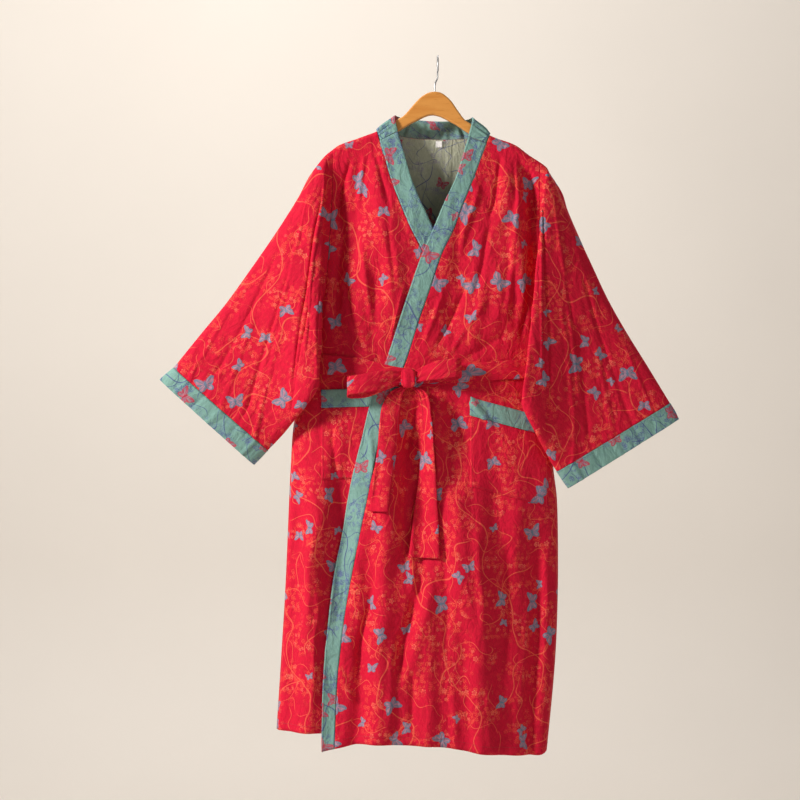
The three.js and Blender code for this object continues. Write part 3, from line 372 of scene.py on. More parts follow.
def arc_lengths(points):
    """Distances along the grid's rows from the middle one's x, and the heights."""
    across = np.linalg.norm(np.diff(points, axis=1), axis=2)
    u = np.concatenate([np.zeros((points.shape[0], 1)), np.cumsum(across, axis=1)], axis=1)
    middle = u.shape[1] // 2
    return u - u[:, middle][:, None] + points[:, middle, 0][:, None], -points[..., 2]


def mesh_piece(name, vertices, quads, uv, slots, materials):
    """A mesh object from arrays, at the origin, in metres."""
    mesh = bpy.data.meshes.new(name)
    mesh.vertices.add(len(vertices))
    mesh.vertices.foreach_set("co", (np.asarray(vertices) * MM).ravel())
    mesh.loops.add(quads.size)
    mesh.loops.foreach_set("vertex_index", quads.ravel())
    mesh.polygons.add(len(quads))
    mesh.polygons.foreach_set("loop_start", np.arange(0, quads.size, 4))
    mesh.polygons.foreach_set("loop_total", np.full(len(quads), 4))
    mesh.polygons.foreach_set("material_index", slots)
    mesh.polygons.foreach_set("use_smooth", np.ones(len(quads), bool))
    layer = mesh.uv_layers.new(name="cloth")
    layer.data.foreach_set("uv", (np.asarray(uv) * MM)[quads.ravel()].ravel())
    for material in materials:
        mesh.materials.append(material)
    mesh.update(calc_edges=True)
    mesh.validate()
    return add_object(name, mesh)


def wall(name, points, normals, layer, materials, round_it=False, uv=None, shift=0.0):
    """A closed wall between two distances from a grid of points."""
    low, high = layer
    rows, columns = points.shape[:2]
    shift = np.asarray(shift)[..., None] if np.ndim(shift) else shift
    outer = points + normals * (high + shift)
    inner = points + normals * (low + shift)
    u, v = arc_lengths(outer) if uv is None else uv
    count = rows * columns
    index = np.arange(count).reshape(rows, columns)
    if round_it:
        index = np.concatenate([index, index[:, :1]], axis=1)
    outer_quads = grid_quads(index)
    inner_quads = outer_quads[:, ::-1] + count
    edges = [(index[0, 1:], index[0, :-1]), (index[-1, :-1], index[-1, 1:])]
    if not round_it:
        edges += [(index[:-1, 0], index[1:, 0]), (index[1:, -1], index[:-1, -1])]
    rims = [np.stack([end, start, start + count, end + count], axis=-1) for start, end in edges]
    quads = np.concatenate([outer_quads, inner_quads, *rims])
    middle_quad = quads[len(outer_quads) // 2 + columns // 2]
    corner = outer.reshape(-1, 3)[middle_quad]
    middle_normal = normals.reshape(-1, 3)[middle_quad[0]]
    turn = np.dot(np.cross(corner[1] - corner[0], corner[2] - corner[0]), middle_normal)
    if turn < 0:
        quads = quads[:, ::-1]
    slots = np.zeros(len(quads), int)
    slots[len(outer_quads) : 2 * len(outer_quads)] = 1
    vertices = np.concatenate([outer.reshape(-1, 3), inner.reshape(-1, 3)])
    flat_uv = np.stack([np.ravel(u), np.ravel(v)], axis=-1)
    return mesh_piece(
        name, vertices, np.ascontiguousarray(quads), np.concatenate([flat_uv, flat_uv]), slots, materials
    )


# %% [markdown]
# ## Threads, colours and finishes
# One helper turns a hex colour to the linear values that Blender shades with, and one adds a node
# with its inputs and settings.

# %% Helpers for materials
def colour(code):
    """A linear colour from an sRGB hex code."""
    parts = [int(code[i : i + 2], 16) / 255 for i in (1, 3, 5)]
    linear = [c / 12.92 if c <= 0.04045 else ((c + 0.055) / 1.055) ** 2.4 for c in parts]
    return (*linear, 1.0)


def new_material(name):
    """An empty material with its Principled shader; returns material, tree and shader."""
    material = bpy.data.materials.new(name)
    material.use_nodes = True
    return material, material.node_tree, material.node_tree.nodes["Principled BSDF"]


# A Mix node has five other inputs between its factor and its two colours.
TO_COLOURS = (None,) * 5


def node(tree, kind, *inputs, out=0, named=None, **settings):
    """Adds one node, sets and links its inputs in order or by name, and returns an output."""
    made = tree.nodes.new("ShaderNode" + kind)
    for key, value in settings.items():
        setattr(made, key, value)
    pairs = list(zip(made.inputs, inputs)) + [(made.inputs[k], v) for k, v in (named or {}).items()]
    for socket, value in pairs:
        if isinstance(value, bpy.types.NodeSocket):
            tree.links.new(value, socket)
        elif value is not None:
            socket.default_value = value
    return made.outputs[out]


# %% [markdown]
# ## The woven pattern
# A jacquard loom lets the two layers of cotton change places, so the figure is in the cloth itself.
# Here the figure is worked out from rules: boughs are wavy lines bent by noise, blossoms and leaves
# sit in Voronoi cells, and each butterfly is four ellipses mirrored about its body, turned at random.
# It is a layout of its own, at the scale of the real one.

# %% Pattern parts
CELL_BUTTERFLY = 66.0
CELL_SMALL_BUTTERFLY = 92.0
CELL_BLOSSOM = 21.0
CELL_LEAF = 12.0
BOUGH_WIDTH = 1.15
TWIG_WIDTH = 0.7


def ellipse(tree, vector, centre, turn, radii):
    """Distance from an ellipse's centre in units of its radius: 1 on the outline."""
    turned = (0, 0, math.radians(turn))
    inside = node(
        tree, "Mapping", vector, (*centre, 0), turned, (*radii, 1), vector_type="TEXTURE"
    )
    return node(tree, "VectorMath", inside, operation="LENGTH", out="Value")


def cell(tree, vector, size, seed, spread=0.85):
    """A random cell: the place inside it, turned at random and in millimetres, and two picks."""
    scaled = node(tree, "VectorMath", vector, (1 / size, 1 / size, 1), operation="MULTIPLY")
    moved = node(tree, "VectorMath", scaled, (seed * 3.7, seed * 1.9, 0), operation="ADD")
    position = node(
        tree,
        "TexVoronoi",
        named={"Vector": moved, "Scale": 1.0, "Randomness": spread},
        voronoi_dimensions="2D",
        out="Position",
    )
    picked = position.node.outputs["Color"]
    local = node(tree, "VectorMath", moved, position, operation="SUBTRACT")
    sized = node(tree, "VectorMath", local, (size, size, 0), operation="MULTIPLY")
    parts = node(tree, "SeparateColor", picked)
    turn = node(tree, "Math", parts, 2 * math.pi, operation="MULTIPLY")
    turned = node(tree, "VectorRotate", sized, None, None, turn, rotation_type="Z_AXIS")
    return turned, parts.node.outputs[1], parts.node.outputs[2]


def fill(tree, distance, softness=0.12):
    """1 inside an outline and 0 outside."""
    return node(tree, "MapRange", distance, 1.0 + softness, 1.0 - softness, 0.0, 1.0, clamp=True)


def butterflies(tree, vector, size, seed, share, width):
    """Masks of the butterflies' wings, and of the darker veins and rims drawn on them."""
    place, pick, growth = cell(tree, vector, size, seed, 0.7)
    grown = node(tree, "MapRange", growth, 0.0, 1.0, 1.3 / width, 0.75 / width)
    scaled = node(tree, "VectorMath", place, named={3: grown}, operation="SCALE")
    mirrored = node(tree, "VectorMath", scaled, operation="ABSOLUTE")
    x_part = node(tree, "SeparateXYZ", mirrored)
    y_part = node(tree, "SeparateXYZ", scaled, out=1)
    half = node(tree, "CombineXYZ", x_part, y_part, 0.0)
    upper = ellipse(tree, half, (0.25, 0.19), 36, (0.31, 0.13))
    tip = ellipse(tree, half, (0.33, 0.15), 76, (0.20, 0.13))
    lower = ellipse(tree, half, (0.18, -0.13), -42, (0.23, 0.15))
    body = ellipse(tree, half, (0.0, 0.02), 0, (0.028, 0.23))
    whole = upper
    for shape in (lower, tip, body):
        whole = node(tree, "Math", whole, shape, operation="MINIMUM")
    chosen = node(tree, "Math", pick, share, operation="LESS_THAN")
    mask = node(tree, "Math", fill(tree, whole, 0.08), chosen, operation="MULTIPLY")
    fan = node(tree, "Math", y_part, x_part, operation="ARCTAN2")
    rays = node(tree, "Math", fan, 11.0, operation="MULTIPLY")
    rays = node(tree, "Math", rays, operation="SINE")
    vein = node(tree, "MapRange", rays, 0.1, 0.7, 0.0, 0.85)
    rim = node(tree, "MapRange", whole, 0.66, 0.82, 0.0, 1.0)
    lines = node(tree, "Math", vein, rim, operation="MAXIMUM")
    middle = node(tree, "MapRange", body, 2.2, 1.2, 0.0, 1.0)
    lines = node(tree, "Math", lines, middle, operation="MAXIMUM")
    return mask, node(tree, "Math", lines, mask, operation="MULTIPLY")


def blossoms(tree, vector, size, seed, share, radius):
    """Mask of five-petalled blossoms, drawn as an open outline with a dot in the middle."""
    place, pick, _ = cell(tree, vector, size, seed)
    x_part = node(tree, "SeparateXYZ", place)
    y_part = x_part.node.outputs[1]
    angle = node(tree, "Math", y_part, x_part, operation="ARCTAN2")
    petals = node(tree, "Math", angle, 2.5, operation="MULTIPLY")
    wave = node(tree, "Math", petals, operation="COSINE")
    lobes = node(tree, "Math", wave, operation="ABSOLUTE")
    reach = node(tree, "MapRange", lobes, 0.0, 1.0, 0.45 * radius, radius)
    far = node(tree, "VectorMath", place, operation="LENGTH", out="Value")
    ratio = node(tree, "Math", far, reach, operation="DIVIDE")
    outline = node(tree, "Math", ratio, 0.78, operation="SUBTRACT")
    outline = node(tree, "Math", outline, operation="ABSOLUTE")
    ring = node(tree, "MapRange", outline, 0.26, 0.12, 0.0, 1.0)
    dot = node(tree, "MapRange", far, 1.2, 0.7, 0.0, 1.0)
    drawn = node(tree, "Math", ring, dot, operation="MAXIMUM")
    chosen = node(tree, "Math", pick, share, operation="LESS_THAN")
    return node(tree, "Math", drawn, chosen, operation="MULTIPLY")


def leaves(tree, vector, size, seed, share, scale):
    """Mask of small sprays: two pairs of leaves and a bud on a short stalk."""
    place, pick, _ = cell(tree, vector, size, seed)
    place = node(tree, "VectorMath", place, (1 / scale, 1 / scale, 1.0), operation="MULTIPLY")
    mirrored = node(tree, "VectorMath", place, operation="ABSOLUTE")
    x_part = node(tree, "SeparateXYZ", mirrored)
    y_part = node(tree, "SeparateXYZ", place, out=1)
    half = node(tree, "CombineXYZ", x_part, y_part, 0.0)
    low_leaf = ellipse(tree, half, (2.5, -1.4), 32, (2.5, 0.95))
    high_leaf = ellipse(tree, half, (2.0, 1.9), 44, (2.1, 0.85))
    bud = ellipse(tree, half, (0.0, 4.6), 90, (1.7, 0.9))
    stalk = ellipse(tree, half, (0.0, -0.6), 90, (5.4, 0.32))
    pair = node(tree, "Math", low_leaf, high_leaf, operation="MINIMUM")
    tip = node(tree, "Math", bud, stalk, operation="MINIMUM")
    spray = node(tree, "Math", pair, tip, operation="MINIMUM")
    chosen = node(tree, "Math", pick, share, operation="LESS_THAN")
    return node(tree, "Math", fill(tree, spray, 0.2), chosen, operation="MULTIPLY")


def boughs(tree, vector, spacing, turn, swing, wave, width):
    """Mask of wavy lines a bough's width across, one to each spacing."""
    turned = node(
        tree, "VectorRotate", vector, None, None, math.radians(turn), rotation_type="Z_AXIS"
    )
    x_part = node(tree, "SeparateXYZ", turned)
    y_part = x_part.node.outputs[1]
    phase = node(tree, "Math", y_part, 2 * math.pi / wave, operation="MULTIPLY")
    sway = node(tree, "Math", phase, operation="SINE")
    offset = node(tree, "Math", sway, swing, operation="MULTIPLY")
    bent = node(tree, "Math", x_part, offset, operation="ADD")
    nearest = node(tree, "Math", bent, spacing, operation="PINGPONG")
    return node(tree, "MapRange", nearest, width * 1.4, width * 0.5, 0.0, 1.0)


# %% [markdown]
# The red face and the teal face are the same weave, so one function makes both cloths. Double-woven
# cotton washes to a soft, crinkled surface: fine pillows between the binding points, a thread every
# millimetre or so, drawn a little coarser than life so that it shows, and a faint nap.

# %% Cloth material
THREAD_MM = 1.15
PILLOW_MM = 7.0
BEND_MM = 78.0


def woven_cloth(name, colours, share, start=(0.0, 0.0, 0.0)):
    """Double-woven cotton with the pattern in its own colours, drawn at a share of full strength.

    start moves the pattern, in millimetres, as a piece cut from another place of the bolt has it.
    """
    material, tree, shader = new_material(name)
    uv = node(tree, "UVMap", uv_map="cloth")
    millimetres = node(
        tree, "VectorMath", uv, (1000.0, 1000.0, 0.0), start, operation="MULTIPLY_ADD"
    )
    noise = node(tree, "TexNoise", named={"Vector": uv, "Scale": 7.0, "Detail": 2.0}, out="Color")
    centred = node(tree, "VectorMath", noise, (0.5, 0.5, 0.5), operation="SUBTRACT")
    swing = node(tree, "VectorMath", centred, (BEND_MM, BEND_MM, 0.0), operation="MULTIPLY")
    bent = node(tree, "VectorMath", millimetres, swing, operation="ADD")

    thick = boughs(tree, bent, 74.0, 24, 17.0, 148.0, BOUGH_WIDTH)
    second = boughs(tree, bent, 61.0, -38, 13.0, 112.0, BOUGH_WIDTH)
    thin = boughs(tree, bent, 33.0, 74, 9.0, 66.0, TWIG_WIDTH)
    thinner = boughs(tree, bent, 29.0, 8, 7.0, 52.0, TWIG_WIDTH)
    breaks = node(tree, "TexNoise", named={"Vector": uv, "Scale": 16.0, "Detail": 1.0})
    gaps = node(tree, "MapRange", breaks, 0.44, 0.50, 0.0, 1.0)
    others = node(tree, "MapRange", breaks, 0.52, 0.46, 0.0, 1.0)
    second = node(tree, "Math", second, gaps, operation="MULTIPLY")
    thin = node(tree, "Math", thin, others, operation="MULTIPLY")
    thinner = node(tree, "Math", thinner, gaps, operation="MULTIPLY")
    wood = thick
    for branch in (second, thin, thinner):
        wood = node(tree, "Math", wood, branch, operation="MAXIMUM")

    clusters = node(tree, "TexNoise", named={"Vector": uv, "Scale": 19.0, "Detail": 2.0})
    bushy = node(tree, "MapRange", clusters, 0.49, 0.57, 0.0, 1.0)
    sparse = node(tree, "MapRange", clusters, 0.44, 0.54, 0.08, 1.0)
    flowers = blossoms(tree, millimetres, CELL_BLOSSOM, 1, 0.40, 5.6)
    small = blossoms(tree, millimetres, CELL_BLOSSOM * 0.62, 2, 0.34, 3.6)
    pale = node(tree, "Math", flowers, small, operation="MAXIMUM")
    pale = node(tree, "Math", pale, bushy, operation="MULTIPLY")
    sprays = leaves(tree, millimetres, CELL_LEAF, 3, 0.62, 1.05)
    tiny = leaves(tree, millimetres, CELL_LEAF * 0.7, 4, 0.62, 0.62)
    fine = node(tree, "Math", tiny, bushy, operation="MULTIPLY")
    sprays = node(tree, "Math", sprays, sparse, operation="MULTIPLY")
    leafy = node(tree, "Math", sprays, fine, operation="MAXIMUM")

    large, large_veins = butterflies(tree, millimetres, CELL_BUTTERFLY, 5, 0.33, 31.0)
    little, little_veins = butterflies(tree, millimetres, CELL_SMALL_BUTTERFLY, 6, 0.45, 20.0)
    wings = node(tree, "Math", large, little, operation="MAXIMUM")
    veins = node(tree, "Math", large_veins, little_veins, operation="MAXIMUM")

    cloudy = node(tree, "TexNoise", named={"Vector": uv, "Scale": 26.0, "Detail": 4.0})
    layers = (
        (cloudy, colours["ground"]),
        (node(tree, "Math", leafy, share * 0.75, operation="MULTIPLY"), colours["leaf"]),
        (node(tree, "Math", pale, share * 0.80, operation="MULTIPLY"), colours["petal"]),
        (node(tree, "Math", wood, share * 0.85, operation="MULTIPLY"), colours["bough"]),
        (node(tree, "Math", wings, 0.66, operation="MULTIPLY"), colours["vein"]),
        (node(tree, "Math", veins, 0.90, operation="MULTIPLY"), colours["wing"]),
    )
    body = colour(colours["deep"])
    for factor, over in layers:
        body = node(tree, "Mix", factor, *TO_COLOURS, body, colour(over), data_type="RGBA", out=2)

    weave_vector = node(
        tree, "VectorMath", millimetres, (1 / THREAD_MM, 1 / THREAD_MM, 0), operation="MULTIPLY"
    )
    parts = node(tree, "SeparateXYZ", weave_vector)
    warp = node(tree, "Math", parts, 2 * math.pi, operation="MULTIPLY")
    weft = node(tree, "Math", parts.node.outputs[1], 2 * math.pi, operation="MULTIPLY")
    warp = node(tree, "Math", warp, operation="SINE")
    weft = node(tree, "Math", weft, operation="SINE")
    threads = node(tree, "Math", warp, weft, operation="MULTIPLY")
    drawn_out = node(tree, "VectorMath", uv, (1.0, 0.16, 0.0), operation="MULTIPLY")
    slub = node(tree, "TexNoise", named={"Vector": drawn_out, "Scale": 900.0, "Detail": 2.0})
    worn = node(tree, "MapRange", slub, 0.35, 0.7, 0.88, 1.08)
    body = node(tree, "VectorMath", body, named={3: worn}, operation="SCALE")
    tree.links.new(body, shader.inputs["Base Color"])

    pillows = node(
        tree, "TexNoise", named={"Vector": uv, "Scale": 1000.0 / PILLOW_MM, "Detail": 3.0}
    )
    squeezed = node(tree, "VectorMath", uv, (1.0, 0.55, 0.0), operation="MULTIPLY")
    crinkle = node(
        tree, "TexNoise", named={"Vector": squeezed, "Scale": 46.0, "Detail": 4.0, "Distortion": 1.4}
    )
    height = node(tree, "Math", pillows, 0.6, operation="MULTIPLY")
    height = node(tree, "Math", crinkle, 3.0, height, operation="MULTIPLY_ADD")
    height = node(tree, "Math", threads, 0.05, height, operation="MULTIPLY_ADD")
    figure = node(tree, "Math", wood, wings, operation="MAXIMUM")
    height = node(tree, "Math", figure, 0.12, height, operation="MULTIPLY_ADD")
    bump = node(tree, "Bump", named={"Strength": 0.7, "Distance": 0.002, "Height": height})
    tree.links.new(bump, shader.inputs["Normal"])
    shader.inputs["Roughness"].default_value = 0.85
    shader.inputs["Sheen Weight"].default_value = 0.10
    shader.inputs["Sheen Roughness"].default_value = 0.45
    shader.inputs["Sheen Tint"].default_value = colour(colours["petal"])
    shader.inputs["Specular IOR Level"].default_value = 0.22
    return material


RED_COLOURS = {
    "ground": "#DC1038",
    "deep": "#C80A30",
    "leaf": "#EE5440",
    "petal": "#F27860",
    "bough": "#F2684C",
    "wing": "#5F7F98",
    "vein": "#A4A0B4",
}
TEAL_COLOURS = {
    "ground": "#88B3A9",
    "deep": "#739C93",
    "leaf": "#56609A",
    "petal": "#646CA6",
    "bough": "#4C548E",
    "wing": "#C83850",
    "vein": "#B07088",
}
red_cloth = woven_cloth("red double-woven cotton", RED_COLOURS, 0.9)
teal_cloth = woven_cloth("teal reverse of the cotton", TEAL_COLOURS, 1.0, (137.0, 52.0, 0.0))
# Light comes through the back from behind it, so its reverse looks greyer there than on the bands.
# That light is painted: this copy of the teal cloth has its ground, leaves and petals painted greyer
# and lighter, as the light through the back makes them look.
PAINTED_LIGHT_THROUGH = {
    **TEAL_COLOURS,
    "ground": "#BABDA6",
    "deep": "#A9AC96",
    "leaf": "#9088A0",
    "petal": "#968CA6",
}
painted_lit_reverse = woven_cloth("teal reverse, with painted light through the back", PAINTED_LIGHT_THROUGH, 0.9)

# %% [markdown]
# ## Back and fronts
# A robe's fronts and back are plain panels. The under front reaches well across beneath the top one,
# as it does on a person, and both hang from the same shoulder line.

# %% Panels
FRONT_GRID = (210, 84)
BACK_GRID = (210, 114)
BAND_GRID = (210, 14)
BACK_HEM = table("x z", (-330, -1275), (0, -1284), (330, -1300))
UNDER_HEM = table("x z", (-330, -1281), (90, -1286))
TOP_HEM = table(
    "x z",
    (-222, -1317), (-195, -1311), (-157, -1303), (-134, -1301), (-77, -1302), (15, -1307),
    (83, -1319), (142, -1325), (192, -1328), (203, -1324), (212, -1319),
)
HEM_FOLD = 17.0
HEM_LIFT = 0.9
CLOSER_AT_TOP = 1.35
BAND_GAP = 0.2
SEAM_TURNS = 14


def shoulder_top(x):
    """The shoulder line."""
    return along(SHOULDER, "x", x, "z")


def back_top(x):
    """The back's top edge: the shoulders, and the neck seam between them."""
    inner = NECKBAND["seamY"] > -1
    neck = {"x": NECKBAND["seamX"][inner], "z": NECKBAND["seamZ"][inner] - 1.2}
    seam = np.where((x > -116) & (x < 99), along(neck, "x", x, "z"), 0)
    return np.minimum(shoulder_top(x), seam)


def panel_points(facing, left_edge, right_edge, top, low, rows, columns, round_sides=False):
    """A grid of points between two edges, from a top line down to a low line."""
    share = np.linspace(0, 1, rows)
    if top in (shoulder_top, back_top):
        share = share**CLOSER_AT_TOP
    across = np.linspace(0, 1, columns)
    if round_sides:
        across = (1 - np.cos(across * math.pi)) / 2
    share, across = np.meshgrid(share, across, indexing="ij")
    x = np.zeros(share.shape)
    z = np.full(share.shape, -600.0)
    for _ in range(SEAM_TURNS):
        x = mix(left_edge(z), right_edge(z), across)
        z = mix(top(x), low(x), share)
    out = stand_out(facing, x, z)
    inside = np.minimum(across, 1 - across) * 2
    stretch = CRUMPLE_WIDE / CRUMPLE_LONG
    hills = crumple(x + 900, z * stretch + 2000, CRUMPLE_WIDE, HILL_SEED)
    hills = hills + 0.6 * crumple(x + z * 0.4 + 2900, z * 0.6 + 2000, SMALL_HILL, SMALL_HILL_SEED)
    drop = np.maximum(shoulder_top(x) - z, 0)
    out = out + CRUMPLE_DEPTH * hills * smooth(4, 40, drop) * smooth(0, 0.06, inside)
    if low in HEM_LINES:
        out = out + HEM_LIFT * smooth(HEM_FOLD + 1.5, HEM_FOLD - 1.5, z - low(x))
    y = facing * (out + SEAM_GAP / 2)
    return np.stack([x, y, z], axis=-1)


def height_line(rows):
    """A line's height across the robe."""
    return lambda x: along(rows, "x", x, "z")


def level(value):
    """An edge or line that keeps to one value."""
    return lambda at: np.full(np.shape(at), float(value))


back_hem = height_line(BACK_HEM)
top_hem = height_line(TOP_HEM)
under_hem = height_line(UNDER_HEM)
HEM_LINES = (back_hem, top_hem, under_hem)


def ride_and_replace(piece, node_name):
    """The piece stands for its node, and hangs still with the one body."""
    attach(piece, "root")
    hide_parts(node_name)
    return piece


def panel(name, facing, sides, lines, layer, materials, grid, shift=None, round_sides=False):
    """One piece of the robe's body as a wall, between two sides and two lines across."""
    points = panel_points(facing, *sides, *lines, *grid, round_sides)
    ridge_rows = (0,) if lines[0] is shoulder_top else ()
    normals = grid_normals(points, (0, facing, 0), ridge_rows)
    shifts = shift(points[..., 0], points[..., 2]) if shift else 0.0
    return wall(name + "_cloth", points, normals, layer, materials, shift=shifts)


RED = [red_cloth, teal_cloth]
TEAL = [teal_cloth, teal_cloth]
# The back's reverse takes the copy of the teal cloth with painted light coming through it.
back = panel(
    "back", 1, (panel_side("minusX"), panel_side("plusX")), (back_top, back_hem), PANEL,
    [red_cloth, painted_lit_reverse], BACK_GRID, round_sides=True,
)
front_left = panel(
    "front_left", -1, (band_side("topSeam", BAND_GAP), panel_side("plusX")),
    (shoulder_top, top_hem), PANEL, RED, FRONT_GRID,
)
front_right = panel(
    "front_right", -1, (panel_side("minusX"), band_side("underSeam", -BAND_GAP)),
    (shoulder_top, under_hem), PANEL, RED, FRONT_GRID, shift=under_shift,
)
for piece, name in ((back, "back"), (front_left, "front_left"), (front_right, "front_right")):
    ride_and_replace(piece, name)
print("panels", [len(p.data.polygons) for p in (back, front_left, front_right)])

# %% [markdown]
# ## Front bands
# A folded strip of the reverse face edges each front. It starts at the shoulder seam, where the
# neck's own band meets it, and runs to the hem.

# %% Front bands
TOP_START = table("x z", (57, -154.4), (92.8, -166.4))
UNDER_START = table("x z", (-110.8, -162.4), (-76, -144.4))
UNDER_BAND_HEM = table("x z", (60, -1286), (130, -1288))
band_left = panel(
    "band_left", -1, (band_side("topFree"), band_side("topSeam", -BAND_GAP)),
    (height_line(TOP_START), top_hem), BAND, TEAL, BAND_GRID,
)
band_right = panel(
    "band_right", -1, (band_side("underSeam", BAND_GAP), band_side("underFree")),
    (height_line(UNDER_START), height_line(UNDER_BAND_HEM)), BAND, TEAL, BAND_GRID,
    shift=under_shift,
)
ride_and_replace(band_left, "band_left")
ride_and_replace(band_right, "band_right")

# %% [markdown]
# ## Neckband
# Behind the neck the band stands up. Its seam is a little shorter than the cloth it holds, so fine
# gathers run across it.

# %% Neckband
NECK_STATIONS = 150
NECK_ACROSS = 12


def smooth_rows(arrays, count):
    """More rows between those given, on a smooth curve through them."""
    arrays = np.asarray(arrays, float)
    at = np.linspace(0, len(arrays) - 1, count)
    i = np.clip(np.floor(at).astype(int), 0, len(arrays) - 2)
    t = (at - i).reshape((-1,) + (1,) * (arrays.ndim - 1))
    p0 = arrays[np.maximum(i - 1, 0)]
    p1 = arrays[i]
    p2 = arrays[i + 1]
    p3 = arrays[np.minimum(i + 2, len(arrays) - 1)]
    square = 2 * p0 - 5 * p1 + 4 * p2 - p3
    cube = 3 * p1 - p0 - 3 * p2 + p3
    return 0.5 * (2 * p1 + (p2 - p0) * t + square * t**2 + cube * t**3)


def columns_of(rows, *names):
    """Some columns of a table side by side."""
    return np.stack([rows[name] for name in names], axis=-1)


seam_line = smooth_rows(columns_of(NECKBAND, "seamX", "seamY", "seamZ"), NECK_STATIONS)
free_line = smooth_rows(columns_of(NECKBAND, "freeX", "freeY", "freeZ"), NECK_STATIONS)
share = np.linspace(0, 1, NECK_ACROSS)[None, :, None]
neck_points = mix(seam_line[:, None, :], free_line[:, None, :], share)
neck_normals = grid_normals(neck_points, (0, 1, 0))
station = np.arange(NECK_STATIONS)[:, None]
gather = np.sin(station * 0.83) + 0.7 * np.sin(station * 1.37 + 1.0) + 0.6 * np.sin(station * 0.41)
across = smooth(1.0, 0.3, share[..., 0]) * mix(0.4, 1.0, smooth(0.0, 0.25, share[..., 0]))
along_seam = smooth(0, 16, station) * smooth(NECK_STATIONS - 1, NECK_STATIONS - 17, station)
depth = 2.0 * gather * across * along_seam
neck_points = neck_points + neck_normals * depth[..., None]
neck_uv = arc_lengths(neck_points)
neckband = wall(
    "neckband_cloth", neck_points, grid_normals(neck_points, (0, 1, 0)), (-1.25, 1.25), TEAL,
    uv=(neck_uv[0] + 60, neck_uv[1]),
)
ride_and_replace(neckband, "neckband")

# %% [markdown]
# ## Sleeves
# A kimono sleeve is a wide tube, sewn flat to the armhole. With no arm in it the tube folds: its
# lower part hangs in front of the body, and the top line runs straight to the cuff. Each ring is a
# flattened loop between a point on the top line and one on the low line.

# %% Sleeve rings
RING_COLUMNS = "topX topZ lowX lowY lowZ front back frontIn backOut"
SLEEVE_RIGHT = table(
    RING_COLUMNS,
    (-211, -188, -243, -8, -532, 22, 20, 3, -4), (-222, -200, -228, -46, -600, 34, 24, 6, -14),
    (-243, -229, -224, -58, -624, 39, 30, 0, -22), (-263, -267, -232, -58, -642, 40, 32, 0, -20),
    (-292, -314, -247, -54, -663, 40, 32, 0, -12), (-322, -359, -260, -46, -679, 37, 30, 0, -6),
    (-362, -416, -276, -34, -697, 31, 26, 0, 0), (-404, -474, -292, -22, -716, 28, 24, 0, 0),
    (-452, -532, -308, -12, -733, 25, 22, 0, 0), (-502, -594, -324, -6, -749, 23, 20, 0, 0),
)
SLEEVE_LEFT = table(
    RING_COLUMNS,
    (207, -213, 217, -8, -532, 22, 20, -6, 4), (212, -224, 176, -50, -618, 36, 24, -10, 26),
    (224, -247, 157, -66, -657, 40, 27, -4, 42), (240, -286, 164, -66, -681, 39, 28, 0, 36),
    (264, -338, 176, -62, -703, 37, 28, 0, 26), (291, -396, 187, -54, -723, 35, 27, 0, 16),
    (322, -462, 197, -44, -741, 32, 26, 0, 8), (358, -526, 207, -36, -758, 29, 24, 0, 2),
    (399, -592, 216, -28, -774, 26, 22, 0, 0), (441, -661, 226, -22, -789, 23, 20, 0, 0),
)
CUFF_RIGHT = table(
    RING_COLUMNS,
    (-502.4, -594.5, -324.4, -6, -749.5, 23, 20, 0, 0), (-517, -606, -338, -5, -764, 22, 20, 0, 0),
    (-529, -617, -351, -4, -777, 21, 20, 0, 0),
)
CUFF_LEFT = table(
    RING_COLUMNS,
    (441.4, -661.5, 226.4, -22, -789.6, 23, 20, 0, 0), (451, -677, 237, -19, -806, 22, 20, 0, 0),
    (458, -692, 248, -16, -821, 21, 20, 0, 0),
)
SQUARENESS = 0.62
LOW_SWING = 1.6
CUFF_WALL = 2.0
BODY_CLEARANCE = 13.0
AROUND = 200
STATIONS = 120
CUFF_STATIONS = 16


def ring_shares():
    """The facing, the share from top to low and the belly of each point round a ring."""
    turn = np.linspace(0, 2 * math.pi, AROUND, endpoint=False)
    facing = np.where(turn < math.pi, -1.0, 1.0)
    return facing, (1 - np.cos(turn)) / 2, np.abs(np.sin(turn))


def sleeve_ring(rows, i, side):
    """One ring of a sleeve, front from top to low, then back from low to top."""
    facing, u, belly = ring_shares()
    row = {name: values[i] for name, values in rows.items()}
    sideways = np.where(facing < 0, row["frontIn"], row["backOut"])
    depth = np.where(facing < 0, row["front"], row["back"])
    x = mix(row["topX"], row["lowX"], u) + sideways * belly
    z = mix(row["topZ"], row["lowZ"], u)
    y = row["lowY"] * u**LOW_SWING + facing * depth * belly**SQUARENESS
    edge = np.where(z > UNDERARM_Z, armhole_x(side, z), along(SIDES, "z", z, side))
    inside = (x - edge) if side == "minusX" else (edge - x)
    margin = np.where(z > UNDERARM_Z, 5.0, BODY_CLEARANCE)
    body = np.where(inside > 0, stand_out(-1, x, z), 0)
    limit = -(body + margin) + 4 * np.maximum(-inside, 0)
    free = (facing > 0) & (z > UNDERARM_Z + 15)
    return np.stack([x, np.where(free, y, np.minimum(y, limit)), z], axis=-1)


def root_ring(side):
    """The sleeve's first ring runs along the edge of the armhole."""
    facing, u, belly = ring_shares()
    outward = -ROOT_OUTWARD if side == "minusX" else ROOT_OUTWARD
    top = -180.0
    for _ in range(8):
        top = shoulder_top(armhole_x(side, top) + outward)
    z = mix(top, UNDERARM_Z + ROOT_RISE, u)
    x = armhole_x(side, z)
    y = np.where(facing < 0, -stand_out(-1, x, z), stand_out(1, x, z))
    y[0] = 0
    return np.stack([x + outward, y, z], axis=-1)


# %% [markdown]
# The sleeves' creases are rows too: a start and an end as shares of the way out from the shoulder
# and of the way down the ring, on the front, with like ones on the back.

